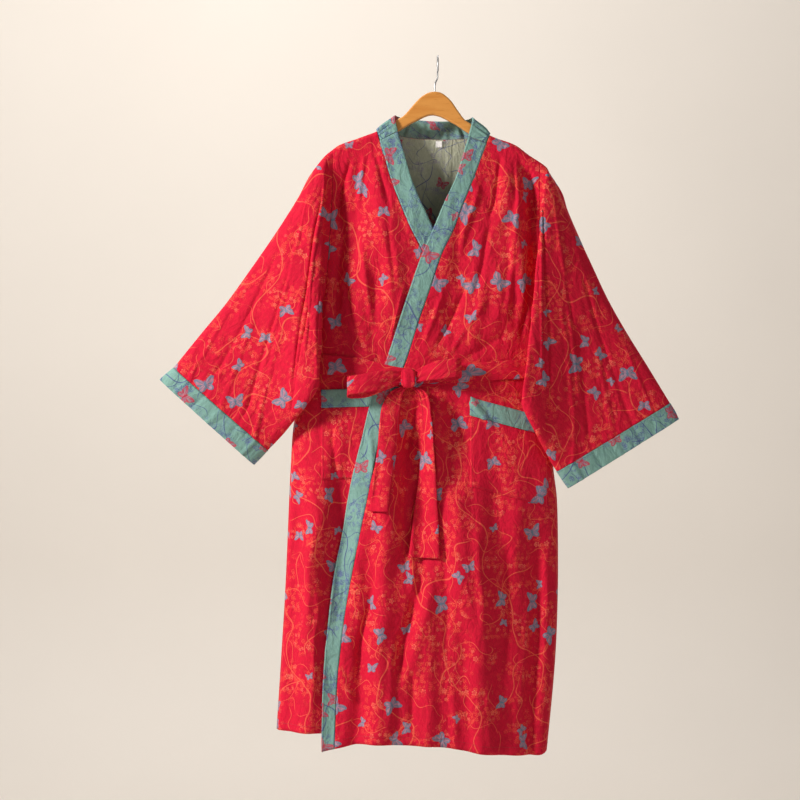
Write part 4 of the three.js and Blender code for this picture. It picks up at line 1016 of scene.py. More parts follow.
# %% Sleeve creases
SLEEVE_CREASES = table(
    "out0 down0 out1 down1 width depth",
    (0.10, 0.10, 0.30, 0.85, 9, -5.0), (0.14, 0.05, 0.48, 0.80, 8, 3.6), (0.20, 0.16, 0.66, 0.90, 9, -4.2),
    (0.30, 0.05, 0.80, 0.62, 8, 3.0), (0.42, 0.20, 0.98, 0.72, 8, -3.4), (0.08, 0.45, 0.26, 0.95, 7, 3.6),
    (0.55, 0.10, 1.00, 0.34, 7, -2.6), (0.60, 0.50, 1.00, 0.88, 7, 2.8), (0.36, 0.55, 0.70, 0.97, 8, -3.0),
    (0.70, 0.24, 1.00, 0.52, 6, 2.2), (0.05, 0.22, 0.16, 0.70, 6, -3.0), (0.48, 0.38, 0.86, 0.70, 5, 2.0),
    (0.26, 0.30, 0.50, 0.60, 5, -1.8), (0.80, 0.06, 1.00, 0.16, 5, 1.8), (0.84, 0.62, 1.00, 0.70, 4, -1.8),
    (0.16, 0.62, 0.40, 0.72, 4, 1.6), (0.50, 0.80, 0.62, 0.62, 4, 1.4), (0.88, 0.40, 0.97, 0.30, 4, -1.4),
)
SLEEVE_DEEP = 420


def sleeve_relief(points, seed, from_out, to_out):
    """How far creases lift each point of a sleeve's grid, in millimetres."""
    facing, u, belly = ring_shares()
    out = np.linspace(from_out, to_out, points.shape[0])[:, None]
    relief = np.zeros(points.shape[:2])
    for side, flip in ((-1.0, 0.0), (1.0, 0.06)):
        on_side = facing[None, :] == side
        for out0, down0, out1, down1, width, depth in zip(*SLEEVE_CREASES.values()):
            t = np.clip((out - out0) / (out1 - out0 + 1e-6), 0, 1)
            line = mix(down0, down1, t) + flip
            away = (u[None, :] - line) * SLEEVE_DEEP
            ends = smooth(-0.02, 0.2, (out - out0) / (out1 - out0))
            if out1 < 1:
                ends = ends * smooth(1.02, 0.8, (out - out0) / (out1 - out0))
            relief += np.where(on_side, depth * ends * np.exp(-((away / width) ** 2)), 0)
    place_out = out * 500 + 300 * seed + 0 * u
    place_round = u[None, :] * 430 + facing * 700 + 2000
    hills = crumple(place_out, place_round, 24.0, seed)
    fine = crumple(place_out, place_round, 10.0, seed + 1)
    return (relief + 0.9 * hills + 0.4 * fine) * smooth(0.0, 0.45, belly)[None, :]


def tube_wall(name, rings, thick, materials, seed, out_range, fade_root, uv_offset):
    """A tube of cloth through rings of points, creased, its wall on the outside."""
    centre = rings.mean(axis=1, keepdims=True)

    def outward(grid):
        wide = closed_round(grid)
        normals = unit(np.cross(np.gradient(wide, axis=0), np.gradient(wide, axis=1))[:, 1:-1])
        return normals if ((grid - centre)[-1] * normals[-1]).sum() > 0 else -normals

    normals = outward(rings)
    relief = sleeve_relief(rings, seed, *out_range)
    if fade_root:
        relief = relief * smooth(0.0, 0.16, np.linspace(0, 1, len(rings)))[:, None]
    lifted = rings + normals * relief[..., None]
    normals = outward(lifted)
    if fade_root:
        normals[0, :, 0] = 0
        normals[0] = unit(normals[0])
    facing, u, belly = ring_shares()
    axis = rings[-1, 0] - rings[0, 0]
    axis = np.array([axis[0], 0, axis[2]]) / math.hypot(axis[0], axis[2])
    side = np.array([-axis[2], 0, axis[0]]) * np.sign(axis[0])
    from_top = rings - rings[0, 0]
    across = np.abs(from_top @ side) * np.where(facing < 0, 1, -1)[None, :]
    uv = (across + uv_offset[0], from_top @ axis + uv_offset[1])
    return wall(name, lifted, normals, (0.0, thick), materials, round_it=True, uv=uv)


def rings_of(rows, side):
    """The rings of a table, in order."""
    return [sleeve_ring(rows, i, side) for i in range(len(rows["topX"]))]


def sleeve(name, rows, side, seed):
    """A whole sleeve, from the armhole to the cuff's seam."""
    dense = smooth_rows([root_ring(side)] + rings_of(rows, side), STATIONS)
    start = (seed * 130, 0)
    piece = tube_wall(name + "_cloth", dense, WALL, RED, seed, (0.0, 1.0), True, start)
    return ride_and_replace(piece, name)


def cuff(name, rows, side, seed):
    """A cuff: a short tube of the reverse face, as thick as its fold."""
    dense = smooth_rows(rings_of(rows, side), CUFF_STATIONS)
    start = (seed * 130, 40)
    piece = tube_wall(name + "_cloth", dense, CUFF_WALL, TEAL, seed, (1.0, 1.02), False, start)
    return ride_and_replace(piece, name)


sleeve_right = sleeve("sleeve_right", SLEEVE_RIGHT, "minusX", 3)
sleeve_left = sleeve("sleeve_left", SLEEVE_LEFT, "plusX", 5)
cuff_right = cuff("cuff_right", CUFF_RIGHT, "minusX", 3)
cuff_left = cuff("cuff_left", CUFF_LEFT, "plusX", 5)

# %% [markdown]
# ## Patch pockets
# Each pocket lies on its front as another layer of the same surface, with a band of the reverse face
# along its mouth.

# %% Pockets
POCKET_ON_UNDER = {"minusX": -221, "plusX": -71, "topMinusX": -636, "topPlusX": -631, "deep": 170}
POCKET_ON_TOP = {"minusX": 60, "plusX": 208, "topMinusX": -650, "topPlusX": -690, "deep": 168}
POCKET_BAND_DEEP = 34
POCKET_GRID = (40, 42)
POCKET_BAND_GRID = (14, 42)


def pocket(name, at, shift):
    """A pocket's panel and its band."""

    def line(below):
        slope = (at["topPlusX"] - at["topMinusX"]) / (at["plusX"] - at["minusX"])
        return lambda x: at["topMinusX"] + slope * (x - at["minusX"]) - below

    left = level(at["minusX"])
    right = level(at["plusX"])
    body_lines = (line(POCKET_BAND_DEEP + SEAM_GAP), line(at["deep"]))
    mouth_lines = (line(0), line(POCKET_BAND_DEEP))
    body = panel(name, -1, (left, right), body_lines, POCKET, RED, POCKET_GRID, shift)
    mouth = panel(
        name + "_band", -1, (left, right), mouth_lines, POCKET_BAND, TEAL, POCKET_BAND_GRID, shift
    )
    ride_and_replace(body, name)
    ride_and_replace(mouth, name + "_band")
    return body, mouth


pocket_right, pocket_right_band = pocket("pocket_right", POCKET_ON_UNDER, under_shift)
pocket_left, pocket_left_band = pocket("pocket_left", POCKET_ON_TOP, None)

# %% [markdown]
# ## Sash
# The sash goes once round the waist and ties in a bow a little to the side. Its stretch round the
# waist lies on the panels, and the bow's loops and ends are strips that hang from the knot.

# %% Sash round the waist
BELT_FRONT = table(
    "x top low",
    (-250, -566, -604), (-160, -574, -612), (-72, -594, -631), (-30, -594, -631), (44, -587, -622),
    (164, -578, -615), (215, -575, -612),
)
BELT_BACK = table("x top low", (-250, -566, -604), (215, -575, -612))
BELT_AROUND = 260
BELT_ACROSS = 14


def belt_ring():
    """Points of the sash on the robe's surface, all round, with their normals."""
    angle = np.linspace(-math.pi / 2, 1.5 * math.pi, BELT_AROUND, endpoint=False)
    reach = np.sin(angle)
    facing = np.where(np.cos(angle) >= 0, -1, 1)
    share, reach = np.meshgrid(np.linspace(0, 1, BELT_ACROSS), reach, indexing="ij")
    facing = np.broadcast_to(facing, share.shape)
    x = np.zeros(share.shape)
    for _ in range(5):
        ahead = mix(along(BELT_FRONT, "x", x, "top"), along(BELT_FRONT, "x", x, "low"), share)
        behind = mix(along(BELT_BACK, "x", x, "top"), along(BELT_BACK, "x", x, "low"), share)
        z = np.where(facing < 0, ahead, behind)
        left = along(SIDES, "z", z, "minusX")
        right = along(SIDES, "z", z, "plusX")
        x = (left + right) / 2 + (right - left) / 2 * reach
    y = np.where(facing < 0, -stand_out(-1, x, z), stand_out(1, x, z))
    return np.stack([x, y, z], axis=-1)


belt_points = belt_ring()
wide = closed_round(belt_points)
belt_normals = unit(np.cross(np.gradient(wide, axis=1), np.gradient(wide, axis=0))[:, 1:-1])
middle = BELT_ACROSS // 2
if (belt_normals[middle, :, 1] * belt_points[middle, :, 1]).sum() < 0:
    belt_normals = -belt_normals
step = np.arange(BELT_AROUND)[None, :]
line = np.linspace(0, 1, BELT_ACROSS)[:, None]
pull = 0.5 * np.sin(line * 9 + 0.06 * step) + 0.5 * crumple(step * 2.2, line * 60 + 40, 9.0, 21)
edge_fade = smooth(0, 0.15, line) * smooth(1, 0.85, line)
belt_points = belt_points + belt_normals * (0.7 * np.abs(pull) * edge_fade)[..., None]
belt_uv = (np.broadcast_to(line * 37 + 20, pull.shape), np.broadcast_to(step * 3.8, pull.shape))
belt_wrap = wall(
    "belt_wrap_cloth", belt_points, belt_normals, BELT, [red_cloth, red_cloth], round_it=True, uv=belt_uv
)
ride_and_replace(belt_wrap, "belt_wrap")

# %% Bow of the sash
KNOT = {"x": -56.0, "z": -614.0, "half": (17.0, 9.0, 19.0), "stand_off": 17.5}
TAIL_RIGHT = table(
    "z from to off",
    (-630, -68, -56, 11), (-642, -92, -66, 10), (-668, -106, -70, 9), (-705, -111, -74, 9),
    (-745, -114, -77, 9), (-800, -122, -86, 8), (-864, -129, -94, 8),
)
TAIL_LEFT = table(
    "z from to off",
    (-630, -54, -45, 11), (-645, -38, -20, 12), (-690, -30, -13, 12), (-740, -31, -9, 11),
    (-800, -36, -5, 10), (-870, -46, -1, 10), (-952, -56, 3, 9),
)
LOOP_RIGHT = table(
    "x out top low",
    (-64, 17, -604, -624), (-78, 20, -600, -624), (-112, 30, -601, -637), (-146, 34, -607, -643),
    (-165, 30, -610, -645), (-170, 22, -613, -650), (-160, 14, -613, -652), (-130, 11, -607, -649),
    (-92, 11, -601, -634), (-66, 12, -604, -624),
)
LOOP_LEFT = table(
    "x out top low",
    (-48, 17, -604, -623), (-34, 20, -595, -620), (-4, 30, -582, -617), (24, 33, -578, -614),
    (38, 29, -577, -612), (42, 22, -578, -613), (34, 14, -581, -617), (6, 11, -586, -621),
    (-26, 11, -598, -624), (-46, 12, -604, -623),
)
STRIP_ACROSS = 12
STRIP_ALONG = 90
RIBBON = 1.8


def strip(name, lines, pleats, seed):
    """A strip of the sash through cross lines, pleated where it is pulled into the knot."""
    points = smooth_rows(lines, STRIP_ALONG)
    normals = grid_normals(points, (0, -1, 0))
    share = np.linspace(0, 1, STRIP_ACROSS)[None, :]
    length = np.linspace(0, 1, len(points))[:, None]
    near = pleats(length)
    relief = 1.6 * near * np.cos(share * 4 * math.pi + 0.5)
    relief = relief + 1.1 * crumple(length * 260 + 50 * seed, share * 36 + 30, 13.0, seed)
    points = points + normals * relief[..., None]
    normals = grid_normals(points, (0, -1, 0))
    across, down = arc_lengths(points)
    layer = (-RIBBON / 2, RIBBON / 2)
    uv = (across + 40 * seed, down)
    return wall(name, points, normals, layer, [red_cloth, red_cloth], uv=uv)


KNOT_BASE = float(stand_out(-1, np.array(KNOT["x"]), np.array(KNOT["z"])))


def loop_lines(rows):
    """Cross lines of one loop of the bow, bowed a little across."""
    across = np.linspace(0, 1, STRIP_ACROSS)
    lines = []
    for x, out, top, low in zip(*(rows[c] for c in ("x", "out", "top", "low"))):
        bow = 2.5 * min(1.0, abs(x - KNOT["x"]) / 40)
        y = -(KNOT_BASE + out) - bow * np.sin(across * math.pi)
        lines.append(np.stack([np.full(STRIP_ACROSS, x), y, mix(top, low, across)], axis=-1))
    return lines


def tail_lines(rows):
    """Cross lines of one hanging end, following the front that it hangs against."""
    across = np.linspace(0, 1, STRIP_ACROSS)
    lines = []
    for z, start, end, off in zip(*(rows[c] for c in ("z", "from", "to", "off"))):
        x = mix(start, end, across)
        y = -(stand_out(-1, x, np.full(STRIP_ACROSS, z)) + off)
        lines.append(np.stack([x, y, np.full(STRIP_ACROSS, z)], axis=-1))
    return lines


both_ends = lambda t: smooth(0.3, 0.02, t) + smooth(0.7, 0.98, t)
first_end = lambda t: smooth(0.35, 0.02, t)
loop_left = strip("belt_loop_left_cloth", loop_lines(LOOP_LEFT), both_ends, 31)
loop_right = strip("belt_loop_right_cloth", loop_lines(LOOP_RIGHT), both_ends, 32)
tail_left = strip("belt_tail_left_cloth", tail_lines(TAIL_LEFT), first_end, 33)
tail_right = strip("belt_tail_right_cloth", tail_lines(TAIL_RIGHT), first_end, 34)
for piece in (loop_left, loop_right, tail_left, tail_right):
    ride_and_replace(piece, piece.name.removesuffix("_cloth"))

# %% [markdown]
# The knot is the sash wrapped once over itself, so it is a squarish lump with soft pleats that run
# down over it.

# %% Knot
KNOT_AROUND = 72
KNOT_RINGS = 44
turn = np.linspace(0, 2 * math.pi, KNOT_AROUND, endpoint=False)[None, :]
tilt = np.linspace(0.06, math.pi - 0.06, KNOT_RINGS)[:, None]
power = 0.72
signed = lambda value, p: np.sign(value) * np.abs(value) ** p
half_x, half_y, half_z = KNOT["half"]
pleat = 1 + 0.07 * np.cos(turn * 7 + 0.9 * np.cos(tilt)) * np.sin(tilt) ** 2
pinch = 1 - 0.10 * np.exp(-(((tilt - math.pi / 2) / 0.55) ** 2))
knot_points = np.stack(
    [
        KNOT["x"] + half_x * 0.93 * pleat * pinch * np.sin(tilt) ** power * signed(np.cos(turn), power),
        -(KNOT_BASE + KNOT["stand_off"])
        + half_y * 0.93 * pleat * np.sin(tilt) ** power * signed(np.sin(turn), power),
        KNOT["z"] + half_z * 0.97 * signed(np.cos(tilt), power) + 0 * turn,
    ],
    axis=-1,
)
flat = knot_points.reshape(-1, 3)
index = np.arange(len(flat)).reshape(KNOT_RINGS, KNOT_AROUND)
index = np.concatenate([index, index[:, :1]], axis=1)
quads = grid_quads(index)
top_point = flat[:KNOT_AROUND].mean(axis=0)
low_point = flat[-KNOT_AROUND:].mean(axis=0)
flat = np.concatenate([flat, [top_point, low_point]])
caps = []
for i in range(0, KNOT_AROUND, 2):
    caps.append((index[0, i], index[0, i + 1], index[0, i + 2], len(flat) - 2))
    caps.append((index[-1, i + 2], index[-1, i + 1], index[-1, i], len(flat) - 1))
quads = np.concatenate([quads, np.array(caps)])
knot_uv = np.stack([flat[:, 0] + flat[:, 1], flat[:, 2]], axis=-1)
belt_knot = mesh_piece("belt_knot_cloth", flat, quads, knot_uv, np.zeros(len(quads), int), [red_cloth])
ride_and_replace(belt_knot, "belt_knot")

# %% [markdown]
# ## Size label
# A blank tab of white tape, sewn in below the neck seam.

# %% Label
label_tape, tree, shader = new_material("white woven tape")
uv = node(tree, "UVMap", uv_map="cloth")
ribs = node(tree, "TexWave", named={"Vector": uv, "Scale": 600.0, "Distortion": 0.4})
shade = node(
    tree, "Mix", ribs, *TO_COLOURS, colour("#F2F0EC"), colour("#FFFFFF"), data_type="RGBA", out=2
)
tree.links.new(shade, shader.inputs["Base Color"])
bump = node(tree, "Bump", named={"Strength": 0.3, "Distance": 0.0003, "Height": ribs})
tree.links.new(bump, shader.inputs["Normal"])
shader.inputs["Roughness"].default_value = 0.7
LABEL = {"minusX": -3.6, "plusX": 9.4, "top": -159.0, "low": -171.0}
LABEL_LAYER = (-1.2, -0.4)
size_label = panel(
    "size_label", 1, (level(LABEL["minusX"]), level(LABEL["plusX"])),
    (level(LABEL["top"]), level(LABEL["low"])), LABEL_LAYER, [label_tape, label_tape], (8, 8),
)
ride_and_replace(size_label, "size_label")

# %% [markdown]
# ## Hanger
# The bar is one piece of beech, cut to the slope of the shoulders with a raised middle, rounded over
# on a router and varnished. A flat curve with a bevel gives it that rounded edge.

# %% Hanger bar
wood_finish, tree, shader = new_material("varnished beech")
place = node(tree, "TexCoord", out="Object")
stretched = node(tree, "Mapping", place, (0, 0, 0), (0, math.radians(30), 0), (9.0, 60.0, 90.0))
grain = node(
    tree, "TexNoise", named={"Vector": stretched, "Scale": 1.0, "Detail": 6.0, "Distortion": 0.6}
)
tone = node(
    tree, "Mix", grain, *TO_COLOURS, colour("#C97A2C"), colour("#EBAA58"), data_type="RGBA", out=2
)
flecks = node(tree, "TexNoise", named={"Vector": stretched, "Scale": 6.0, "Detail": 2.0})
fleck_mask = node(tree, "MapRange", flecks, 0.62, 0.72, 0.0, 0.5)
tone = node(tree, "Mix", fleck_mask, *TO_COLOURS, tone, colour("#A65F20"), data_type="RGBA", out=2)
tree.links.new(tone, shader.inputs["Base Color"])
bump = node(tree, "Bump", named={"Strength": 0.15, "Distance": 0.0004, "Height": grain})
tree.links.new(bump, shader.inputs["Normal"])
shader.inputs["Roughness"].default_value = 0.34
shader.inputs["Coat Weight"].default_value = 0.35
shader.inputs["Coat Roughness"].default_value = 0.2

BAR_THICK = 12.0
BAR_BEVEL = 3.5
BAR_UNDER_CLOTH = 1.3
BAR_HUMP = table(
    "x z",
    (-117, -151), (-100, -138), (-81, -122), (-65, -113), (-48, -94), (-33, -78), (-18, -69),
    (-5.5, -67), (8, -70), (25, -84), (39, -104), (52, -121), (64, -129), (84, -146), (97, -155),
)
BAR_UNDERSIDE = table(
    "x z",
    (182, -220), (150, -206), (110, -178), (62, -149), (28, -127), (-9, -112), (-42, -124),
    (-76, -144), (-120, -172), (-158, -190), (-184, -202),
)


def bar_outline():
    """The bar's outline: tips, arms just under the cloth, hump and underside."""
    left = np.linspace(-192, -134, 9)
    right = np.linspace(108, 188, 11)
    hump_x = np.linspace(-117, 97, 60)
    under_x = np.linspace(182, -184, 70)
    parts = [
        [(-196, -192)],
        zip(left, shoulder_top(left) - BAR_UNDER_CLOTH),
        zip(hump_x, along(BAR_HUMP, "x", hump_x, "z")),
        zip(right, shoulder_top(right) - BAR_UNDER_CLOTH - 0.6),
        [(194, -212)],
        zip(under_x, along(BAR_UNDERSIDE, "x", under_x, "z")),
    ]
    return [point for part in parts for point in part]


def curve_to_piece(name, data, material):
    """Turns a curve to a mesh piece at the origin."""
    maker = add_object(name + "_curve", data)
    bpy.context.view_layer.update()
    mesh = bpy.data.meshes.new_from_object(maker.evaluated_get(bpy.context.evaluated_depsgraph_get()))
    bpy.data.objects.remove(maker)
    mesh.name = name
    mesh.materials.clear()
    mesh.materials.append(material)
    return add_object(name, mesh)


outline = bar_outline()
data = bpy.data.curves.new("bar", "CURVE")
data.dimensions = "2D"
data.fill_mode = "BOTH"
data.extrude = (BAR_THICK / 2 - BAR_BEVEL) * MM
data.bevel_depth = BAR_BEVEL * MM
data.bevel_resolution = 4
data.offset = -BAR_BEVEL * MM
spline = data.splines.new("POLY")
spline.points.add(len(outline) - 1)
spline.use_cyclic_u = True
for point, (x, z) in zip(spline.points, outline):
    point.co = (x * MM, z * MM, 0, 1)
hanger_bar = curve_to_piece("hanger_bar_beech", data, wood_finish)
co = np.empty(len(hanger_bar.data.vertices) * 3)
hanger_bar.data.vertices.foreach_get("co", co)
co = co.reshape(-1, 3)
hanger_bar.data.vertices.foreach_set("co", np.stack([co[:, 0], -co[:, 2], co[:, 1]], axis=-1).ravel())
hanger_bar.data.shade_smooth()
ride_and_replace(hanger_bar, "hanger_bar")

# %% [markdown]
# The hook is 3 mm steel wire, bent cold and plated, screwed into the middle of the bar. It is seen
# edge-on, because the hook is turned across the robe to hold on a rail.

# %% Hook
steel, tree, shader = new_material("plated steel wire")
place = node(tree, "TexCoord", out="Object")
rubbed = node(tree, "TexNoise", named={"Vector": place, "Scale": 300.0, "Detail": 3.0})
tone = node(
    tree, "Mix", rubbed, *TO_COLOURS, colour("#8E9092"), colour("#C3C5C7"), data_type="RGBA", out=2
)
tree.links.new(tone, shader.inputs["Base Color"])
rough = node(tree, "MapRange", rubbed, 0.3, 0.7, 0.34, 0.5)
tree.links.new(rough, shader.inputs["Roughness"])
shader.inputs["Metallic"].default_value = 1.0
WIRE = 3.0
HOOK_RADIUS = 19.0
HOOK_TIP_ANGLE = -35
HOOK_STEPS = 12
HOOK_SHANK = (
    (0, 18.5, -28), (0, 11, -37), (-1.5, 3.5, -43), (-4.5, 0.3, -50), (-5.5, 0, -57), (-5.5, 0, -66.6),
)
hook_route = []
for i in range(HOOK_STEPS + 1):
    angle = math.radians(mix(180 - HOOK_TIP_ANGLE, 0, i / HOOK_STEPS))
    radius = HOOK_RADIUS + WIRE / 2
    hook_route.append((0, radius * math.cos(angle), radius * math.sin(angle) - HOOK_RADIUS))
hook_route += HOOK_SHANK
fine_route = smooth_rows(hook_route, 120)
data = bpy.data.curves.new("hook", "CURVE")
data.dimensions = "3D"
data.bevel_depth = WIRE / 2 * MM
data.bevel_resolution = 5
data.use_fill_caps = True
spline = data.splines.new("POLY")
spline.points.add(len(fine_route) - 1)
for point, co in zip(spline.points, fine_route):
    point.co = (*(co * MM), 1)
hanger_hook = curve_to_piece("hanger_hook_wire", data, steel)
hanger_hook.data.shade_smooth()
ride_and_replace(hanger_hook, "hanger_hook")

# %% [markdown]
# ## Sewing
# Lines of stitches hold the bands, hems, cuffs and pockets. A Geometry Nodes tree walks along each
# line, sets one small capsule every few millimetres, and realizes them all as one mesh.

# %% Stitch tree
STITCH_LENGTH = 2.6
STITCH_PITCH = 3.6
STITCH_RADIUS = 0.32
STITCH_LIFT = 0.4


def stitch_tree(material):
    """Geometry Nodes: a capsule of thread every pitch along the lines that it is given."""
    group = bpy.data.node_groups.new("stitches", "GeometryNodeTree")
    group.interface.new_socket("Lines", in_out="INPUT", socket_type="NodeSocketGeometry")
    pitch = group.interface.new_socket("Pitch", in_out="INPUT", socket_type="NodeSocketFloat")
    length = group.interface.new_socket("Stitch length", in_out="INPUT", socket_type="NodeSocketFloat")
    radius = group.interface.new_socket("Thread radius", in_out="INPUT", socket_type="NodeSocketFloat")
    group.interface.new_socket("Stitches", in_out="OUTPUT", socket_type="NodeSocketGeometry")
    add = lambda kind: group.nodes.new(kind)
    source = add("NodeGroupInput")
    to_curve = add("GeometryNodeMeshToCurve")
    resample = add("GeometryNodeResampleCurve")
    resample.mode = "LENGTH"
    tangent = add("GeometryNodeInputTangent")
    align = add("FunctionNodeAlignRotationToVector")
    align.axis = "Z"
    capsule = add("GeometryNodeMeshCylinder")
    capsule.inputs["Vertices"].default_value = 6
    instance = add("GeometryNodeInstanceOnPoints")
    realize = add("GeometryNodeRealizeInstances")
    finish = add("GeometryNodeSetMaterial")
    finish.inputs["Material"].default_value = material
    result = add("NodeGroupOutput")
    link = group.links.new
    link(source.outputs["Lines"], to_curve.inputs["Mesh"])
    link(to_curve.outputs["Curve"], resample.inputs["Curve"])
    link(source.outputs["Pitch"], resample.inputs["Length"])
    link(source.outputs["Thread radius"], capsule.inputs["Radius"])
    link(source.outputs["Stitch length"], capsule.inputs["Depth"])
    link(resample.outputs["Curve"], instance.inputs["Points"])
    link(capsule.outputs["Mesh"], instance.inputs["Instance"])
    link(tangent.outputs["Tangent"], align.inputs["Vector"])
    link(align.outputs["Rotation"], instance.inputs["Rotation"])
    link(instance.outputs["Instances"], realize.inputs["Geometry"])
    link(realize.outputs["Geometry"], finish.inputs["Geometry"])
    link(finish.outputs["Geometry"], result.inputs["Stitches"])
    sizes = ((pitch, STITCH_PITCH), (length, STITCH_LENGTH), (radius, STITCH_RADIUS))
    return group, {socket.identifier: value for socket, value in sizes}


def sewn(name, lines, material):
    """One mesh of stitches along several lines of points, in millimetres."""
    vertices = np.concatenate(lines) * MM
    edges = []
    start = 0
    for line_points in lines:
        edges += [(start + i, start + i + 1) for i in range(len(line_points) - 1)]
        start += len(line_points)
    guide_mesh = bpy.data.meshes.new(name + "_guide")
    guide_mesh.from_pydata([tuple(v) for v in vertices], edges, [])
    guide = add_object(name + "_guide", guide_mesh)
    group, sizes = stitch_tree(material)
    modifier = guide.modifiers.new("stitches", "NODES")
    modifier.node_group = group
    for identifier, value in sizes.items():
        modifier[identifier] = value * MM
    bpy.context.view_layer.update()
    mesh = bpy.data.meshes.new_from_object(guide.evaluated_get(bpy.context.evaluated_depsgraph_get()))
    mesh.name = name
    bpy.data.objects.remove(guide)
    piece = add_object(name, mesh)
    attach(piece, "root")
    return piece


# %% Stitch lines
def sewing_thread(name, dark, light):
    """Twisted cotton thread in two close tones."""
    material, tree, shader = new_material(name)
    place = node(tree, "TexCoord", out="Object")
    twist = node(tree, "TexNoise", named={"Vector": place, "Scale": 900.0})
    tone = node(
        tree, "Mix", twist, *TO_COLOURS, colour(dark), colour(light), data_type="RGBA", out=2
    )
    tree.links.new(tone, shader.inputs["Base Color"])
    shader.inputs["Roughness"].default_value = 0.55
    return material


thread_red = sewing_thread("red sewing thread", "#9E0F1F", "#C9263A")
thread_teal = sewing_thread("teal sewing thread", "#4E7F78", "#7DB1A8")


def on_cloth(piece, rows_columns, row=None, column=None, inset=0):
    """Points of a wall's outer face along one row or column of its grid, lifted by a thread."""
    rows, columns = rows_columns
    co = np.empty(len(piece.data.vertices) * 3)
    piece.data.vertices.foreach_get("co", co)
    outer = co.reshape(-1, 3)[: rows * columns].reshape(rows, columns, 3) / MM
    inner = co.reshape(-1, 3)[rows * columns :].reshape(rows, columns, 3) / MM
    lifted = outer + unit(outer - inner) * STITCH_RADIUS * STITCH_LIFT
    line_points = lifted[row] if row is not None else lifted[:, column]
    return line_points[inset : len(line_points) - inset]


NECK_GRID = (NECK_STATIONS, NECK_ACROSS)
TAIL_GRID = (STRIP_ALONG, STRIP_ACROSS)
CUFF_GRID = (CUFF_STATIONS, AROUND)
red_lines = []
for piece, grid in ((back, BACK_GRID), (front_left, FRONT_GRID), (front_right, FRONT_GRID)):
    red_lines.append(on_cloth(piece, grid, row=grid[0] - 3))
for piece in (pocket_left, pocket_right):
    red_lines.append(on_cloth(piece, POCKET_GRID, column=1))
    red_lines.append(on_cloth(piece, POCKET_GRID, column=POCKET_GRID[1] - 2))
    red_lines.append(on_cloth(piece, POCKET_GRID, row=POCKET_GRID[0] - 2))
for piece in (tail_left, tail_right):
    for column in (1, STRIP_ACROSS - 2):
        red_lines.append(on_cloth(piece, TAIL_GRID, column=column, inset=8))
band_edges = ((band_left, 12), (band_left, 1), (band_right, 1), (band_right, 12))
teal_lines = [on_cloth(piece, BAND_GRID, column=column) for piece, column in band_edges]
teal_lines += [on_cloth(neckband, NECK_GRID, column=column) for column in (1, NECK_ACROSS - 2)]
for piece in (pocket_left_band, pocket_right_band):
    teal_lines.append(on_cloth(piece, POCKET_BAND_GRID, row=12))
teal_lines += [on_cloth(piece, CUFF_GRID, row=1) for piece in (cuff_left, cuff_right)]
stitches_red = sewn("stitches_red", red_lines, thread_red)
stitches_teal = sewn("stitches_teal", teal_lines, thread_teal)
print("stitches", len(stitches_red.data.polygons), len(stitches_teal.data.polygons))

# %% [markdown]
# ## Cut of the cloth
# Each piece of cloth is stated at the size it was cut to, flat, before it was hung.

# %% Sheets
def area_of(piece):
    """Half of a wall's area: one face of the cloth, in square metres."""
    return sum(p.area for p in piece.data.polygons) / 2


# Each row: the piece, its flat size in metres, what it rests on, and its area where stated.
SHEETS = [
    (back, (0.60, 1.16), "hanger_bar", 0.62),
    (front_left, (0.47, 1.18), "hanger_bar", 0.37),
    (front_right, (0.46, 1.15), "hanger_bar", 0.34),
    (band_left, (0.04, 1.20), "front_left", None),
    (band_right, (0.04, 1.19), "front_right", None),
    (neckband, (0.038, 0.29), "back", None),
    (sleeve_left, (0.90, 0.52), "hanger_bar", 0.19),
    (sleeve_right, (0.90, 0.52), "hanger_bar", 0.19),
    (cuff_left, (0.51, 0.036), "sleeve_left", None),
    (cuff_right, (0.49, 0.036), "sleeve_right", None),
    (pocket_left, (0.15, 0.135), "front_left", None),
    (pocket_left_band, (0.15, 0.035), "front_left", None),
    (pocket_right, (0.15, 0.135), "front_right", None),
    (pocket_right_band, (0.15, 0.035), "front_right", None),
    (belt_wrap, (0.037, 0.97), "back", None),
    (loop_left, (0.035, 0.22), "belt_knot", None),
    (loop_right, (0.036, 0.24), "belt_knot", None),
    (tail_left, (0.042, 0.33), "belt_knot", None),
    (tail_right, (0.037, 0.25), "belt_knot", None),
    (size_label, (0.013, 0.012), "back", None),
]
for piece, flat_size, rests_on, area in SHEETS:
    print("sheet", piece.name, round(area_of(piece), 4), round(flat_size[0] * flat_size[1], 4))

# %% [markdown]
# ## Studio
# A pale wall and floor. The main light stands at the left and in front, and a weak fill at the
# right. One more lights the wall, and one comes from behind. All are a little warm.

# %% Studio
plaster, tree, shader = new_material("warm plaster")
place = node(tree, "TexCoord", out="Object")
mottle = node(tree, "TexNoise", named={"Vector": place, "Scale": 0.8, "Detail": 3.0})
tone = node(
    tree, "Mix", mottle, *TO_COLOURS, colour("#E0DBD4"), colour("#E8E3DC"), data_type="RGBA", out=2
)
tree.links.new(tone, shader.inputs["Base Color"])
shader.inputs["Roughness"].default_value = 0.95


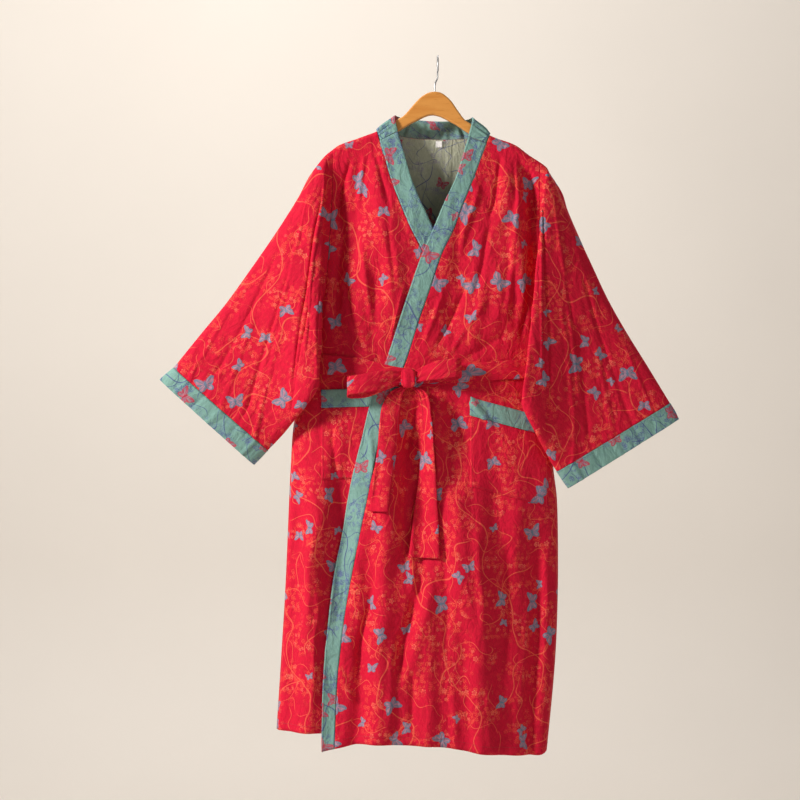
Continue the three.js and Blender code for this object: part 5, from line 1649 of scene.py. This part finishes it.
WALL_Y = 5.2
FLOOR_Z = -2.4
CORNER = 1.0
CORNER_STEPS = 12
FLOOR_FRONT = -7.0
WALL_TOP = 8.0
HALF_WIDTH = 14.0


def cyclorama():
    """A wall that curves into the floor, well behind and below the robe."""
    profile = [(FLOOR_FRONT, FLOOR_Z)]
    for i in range(CORNER_STEPS + 1):
        angle = math.radians(90 * i / CORNER_STEPS)
        y = WALL_Y - CORNER + CORNER * math.sin(angle)
        profile.append((y, FLOOR_Z + CORNER - CORNER * math.cos(angle)))
    profile.append((WALL_Y, WALL_TOP))
    vertices = [(side * HALF_WIDTH, y, z) for side in (-1, 1) for y, z in profile]
    count = len(profile)
    faces = [(i, i + count, i + count + 1, i + 1) for i in range(count - 1)]
    mesh = bpy.data.meshes.new("studio_wall")
    mesh.from_pydata(vertices, [], faces)
    mesh.materials.append(plaster)
    mesh.shade_smooth()
    piece = bpy.data.objects.new("studio_wall", mesh)
    bpy.context.scene.collection.objects.link(piece)
    return piece


cyclorama()


def area_light(name, place, aim, size, watts, tint):
    """A square soft light that faces a point."""
    data = bpy.data.lights.new(name, "AREA")
    data.energy = watts
    data.size = size
    data.color = colour(tint)[:3]
    light = add_object(name, data)
    light.location = place
    direction = np.array(aim) - np.array(place)
    light.rotation_euler = (
        math.acos(-direction[2] / np.linalg.norm(direction)),
        0,
        math.atan2(direction[0], -direction[1]) + math.pi,
    )


area_light("key", (-3.5, -1.8, 0.95), (0, 0, -0.6), 0.8, 222, "#FFF9F4")
area_light("fill", (2.8, -3.2, -0.2), (0, 0, -0.6), 2.6, 23, "#FFF8F4")
area_light("wall light", (-0.9, 1.6, 3.0), (-0.3, 5.2, -0.8), 3.0, 158, "#FFFAF5")
area_light("from behind", (2.6, 3.4, 1.6), (0, 0, -0.6), 2.0, 26, "#FFF8F2")
world = bpy.data.worlds.new("room")
world.use_nodes = True
world.node_tree.nodes["Background"].inputs["Color"].default_value = colour("#F1ECE6")
world.node_tree.nodes["Background"].inputs["Strength"].default_value = 0.21
bpy.context.scene.world = world
bpy.context.scene.view_settings.view_transform = "Standard"
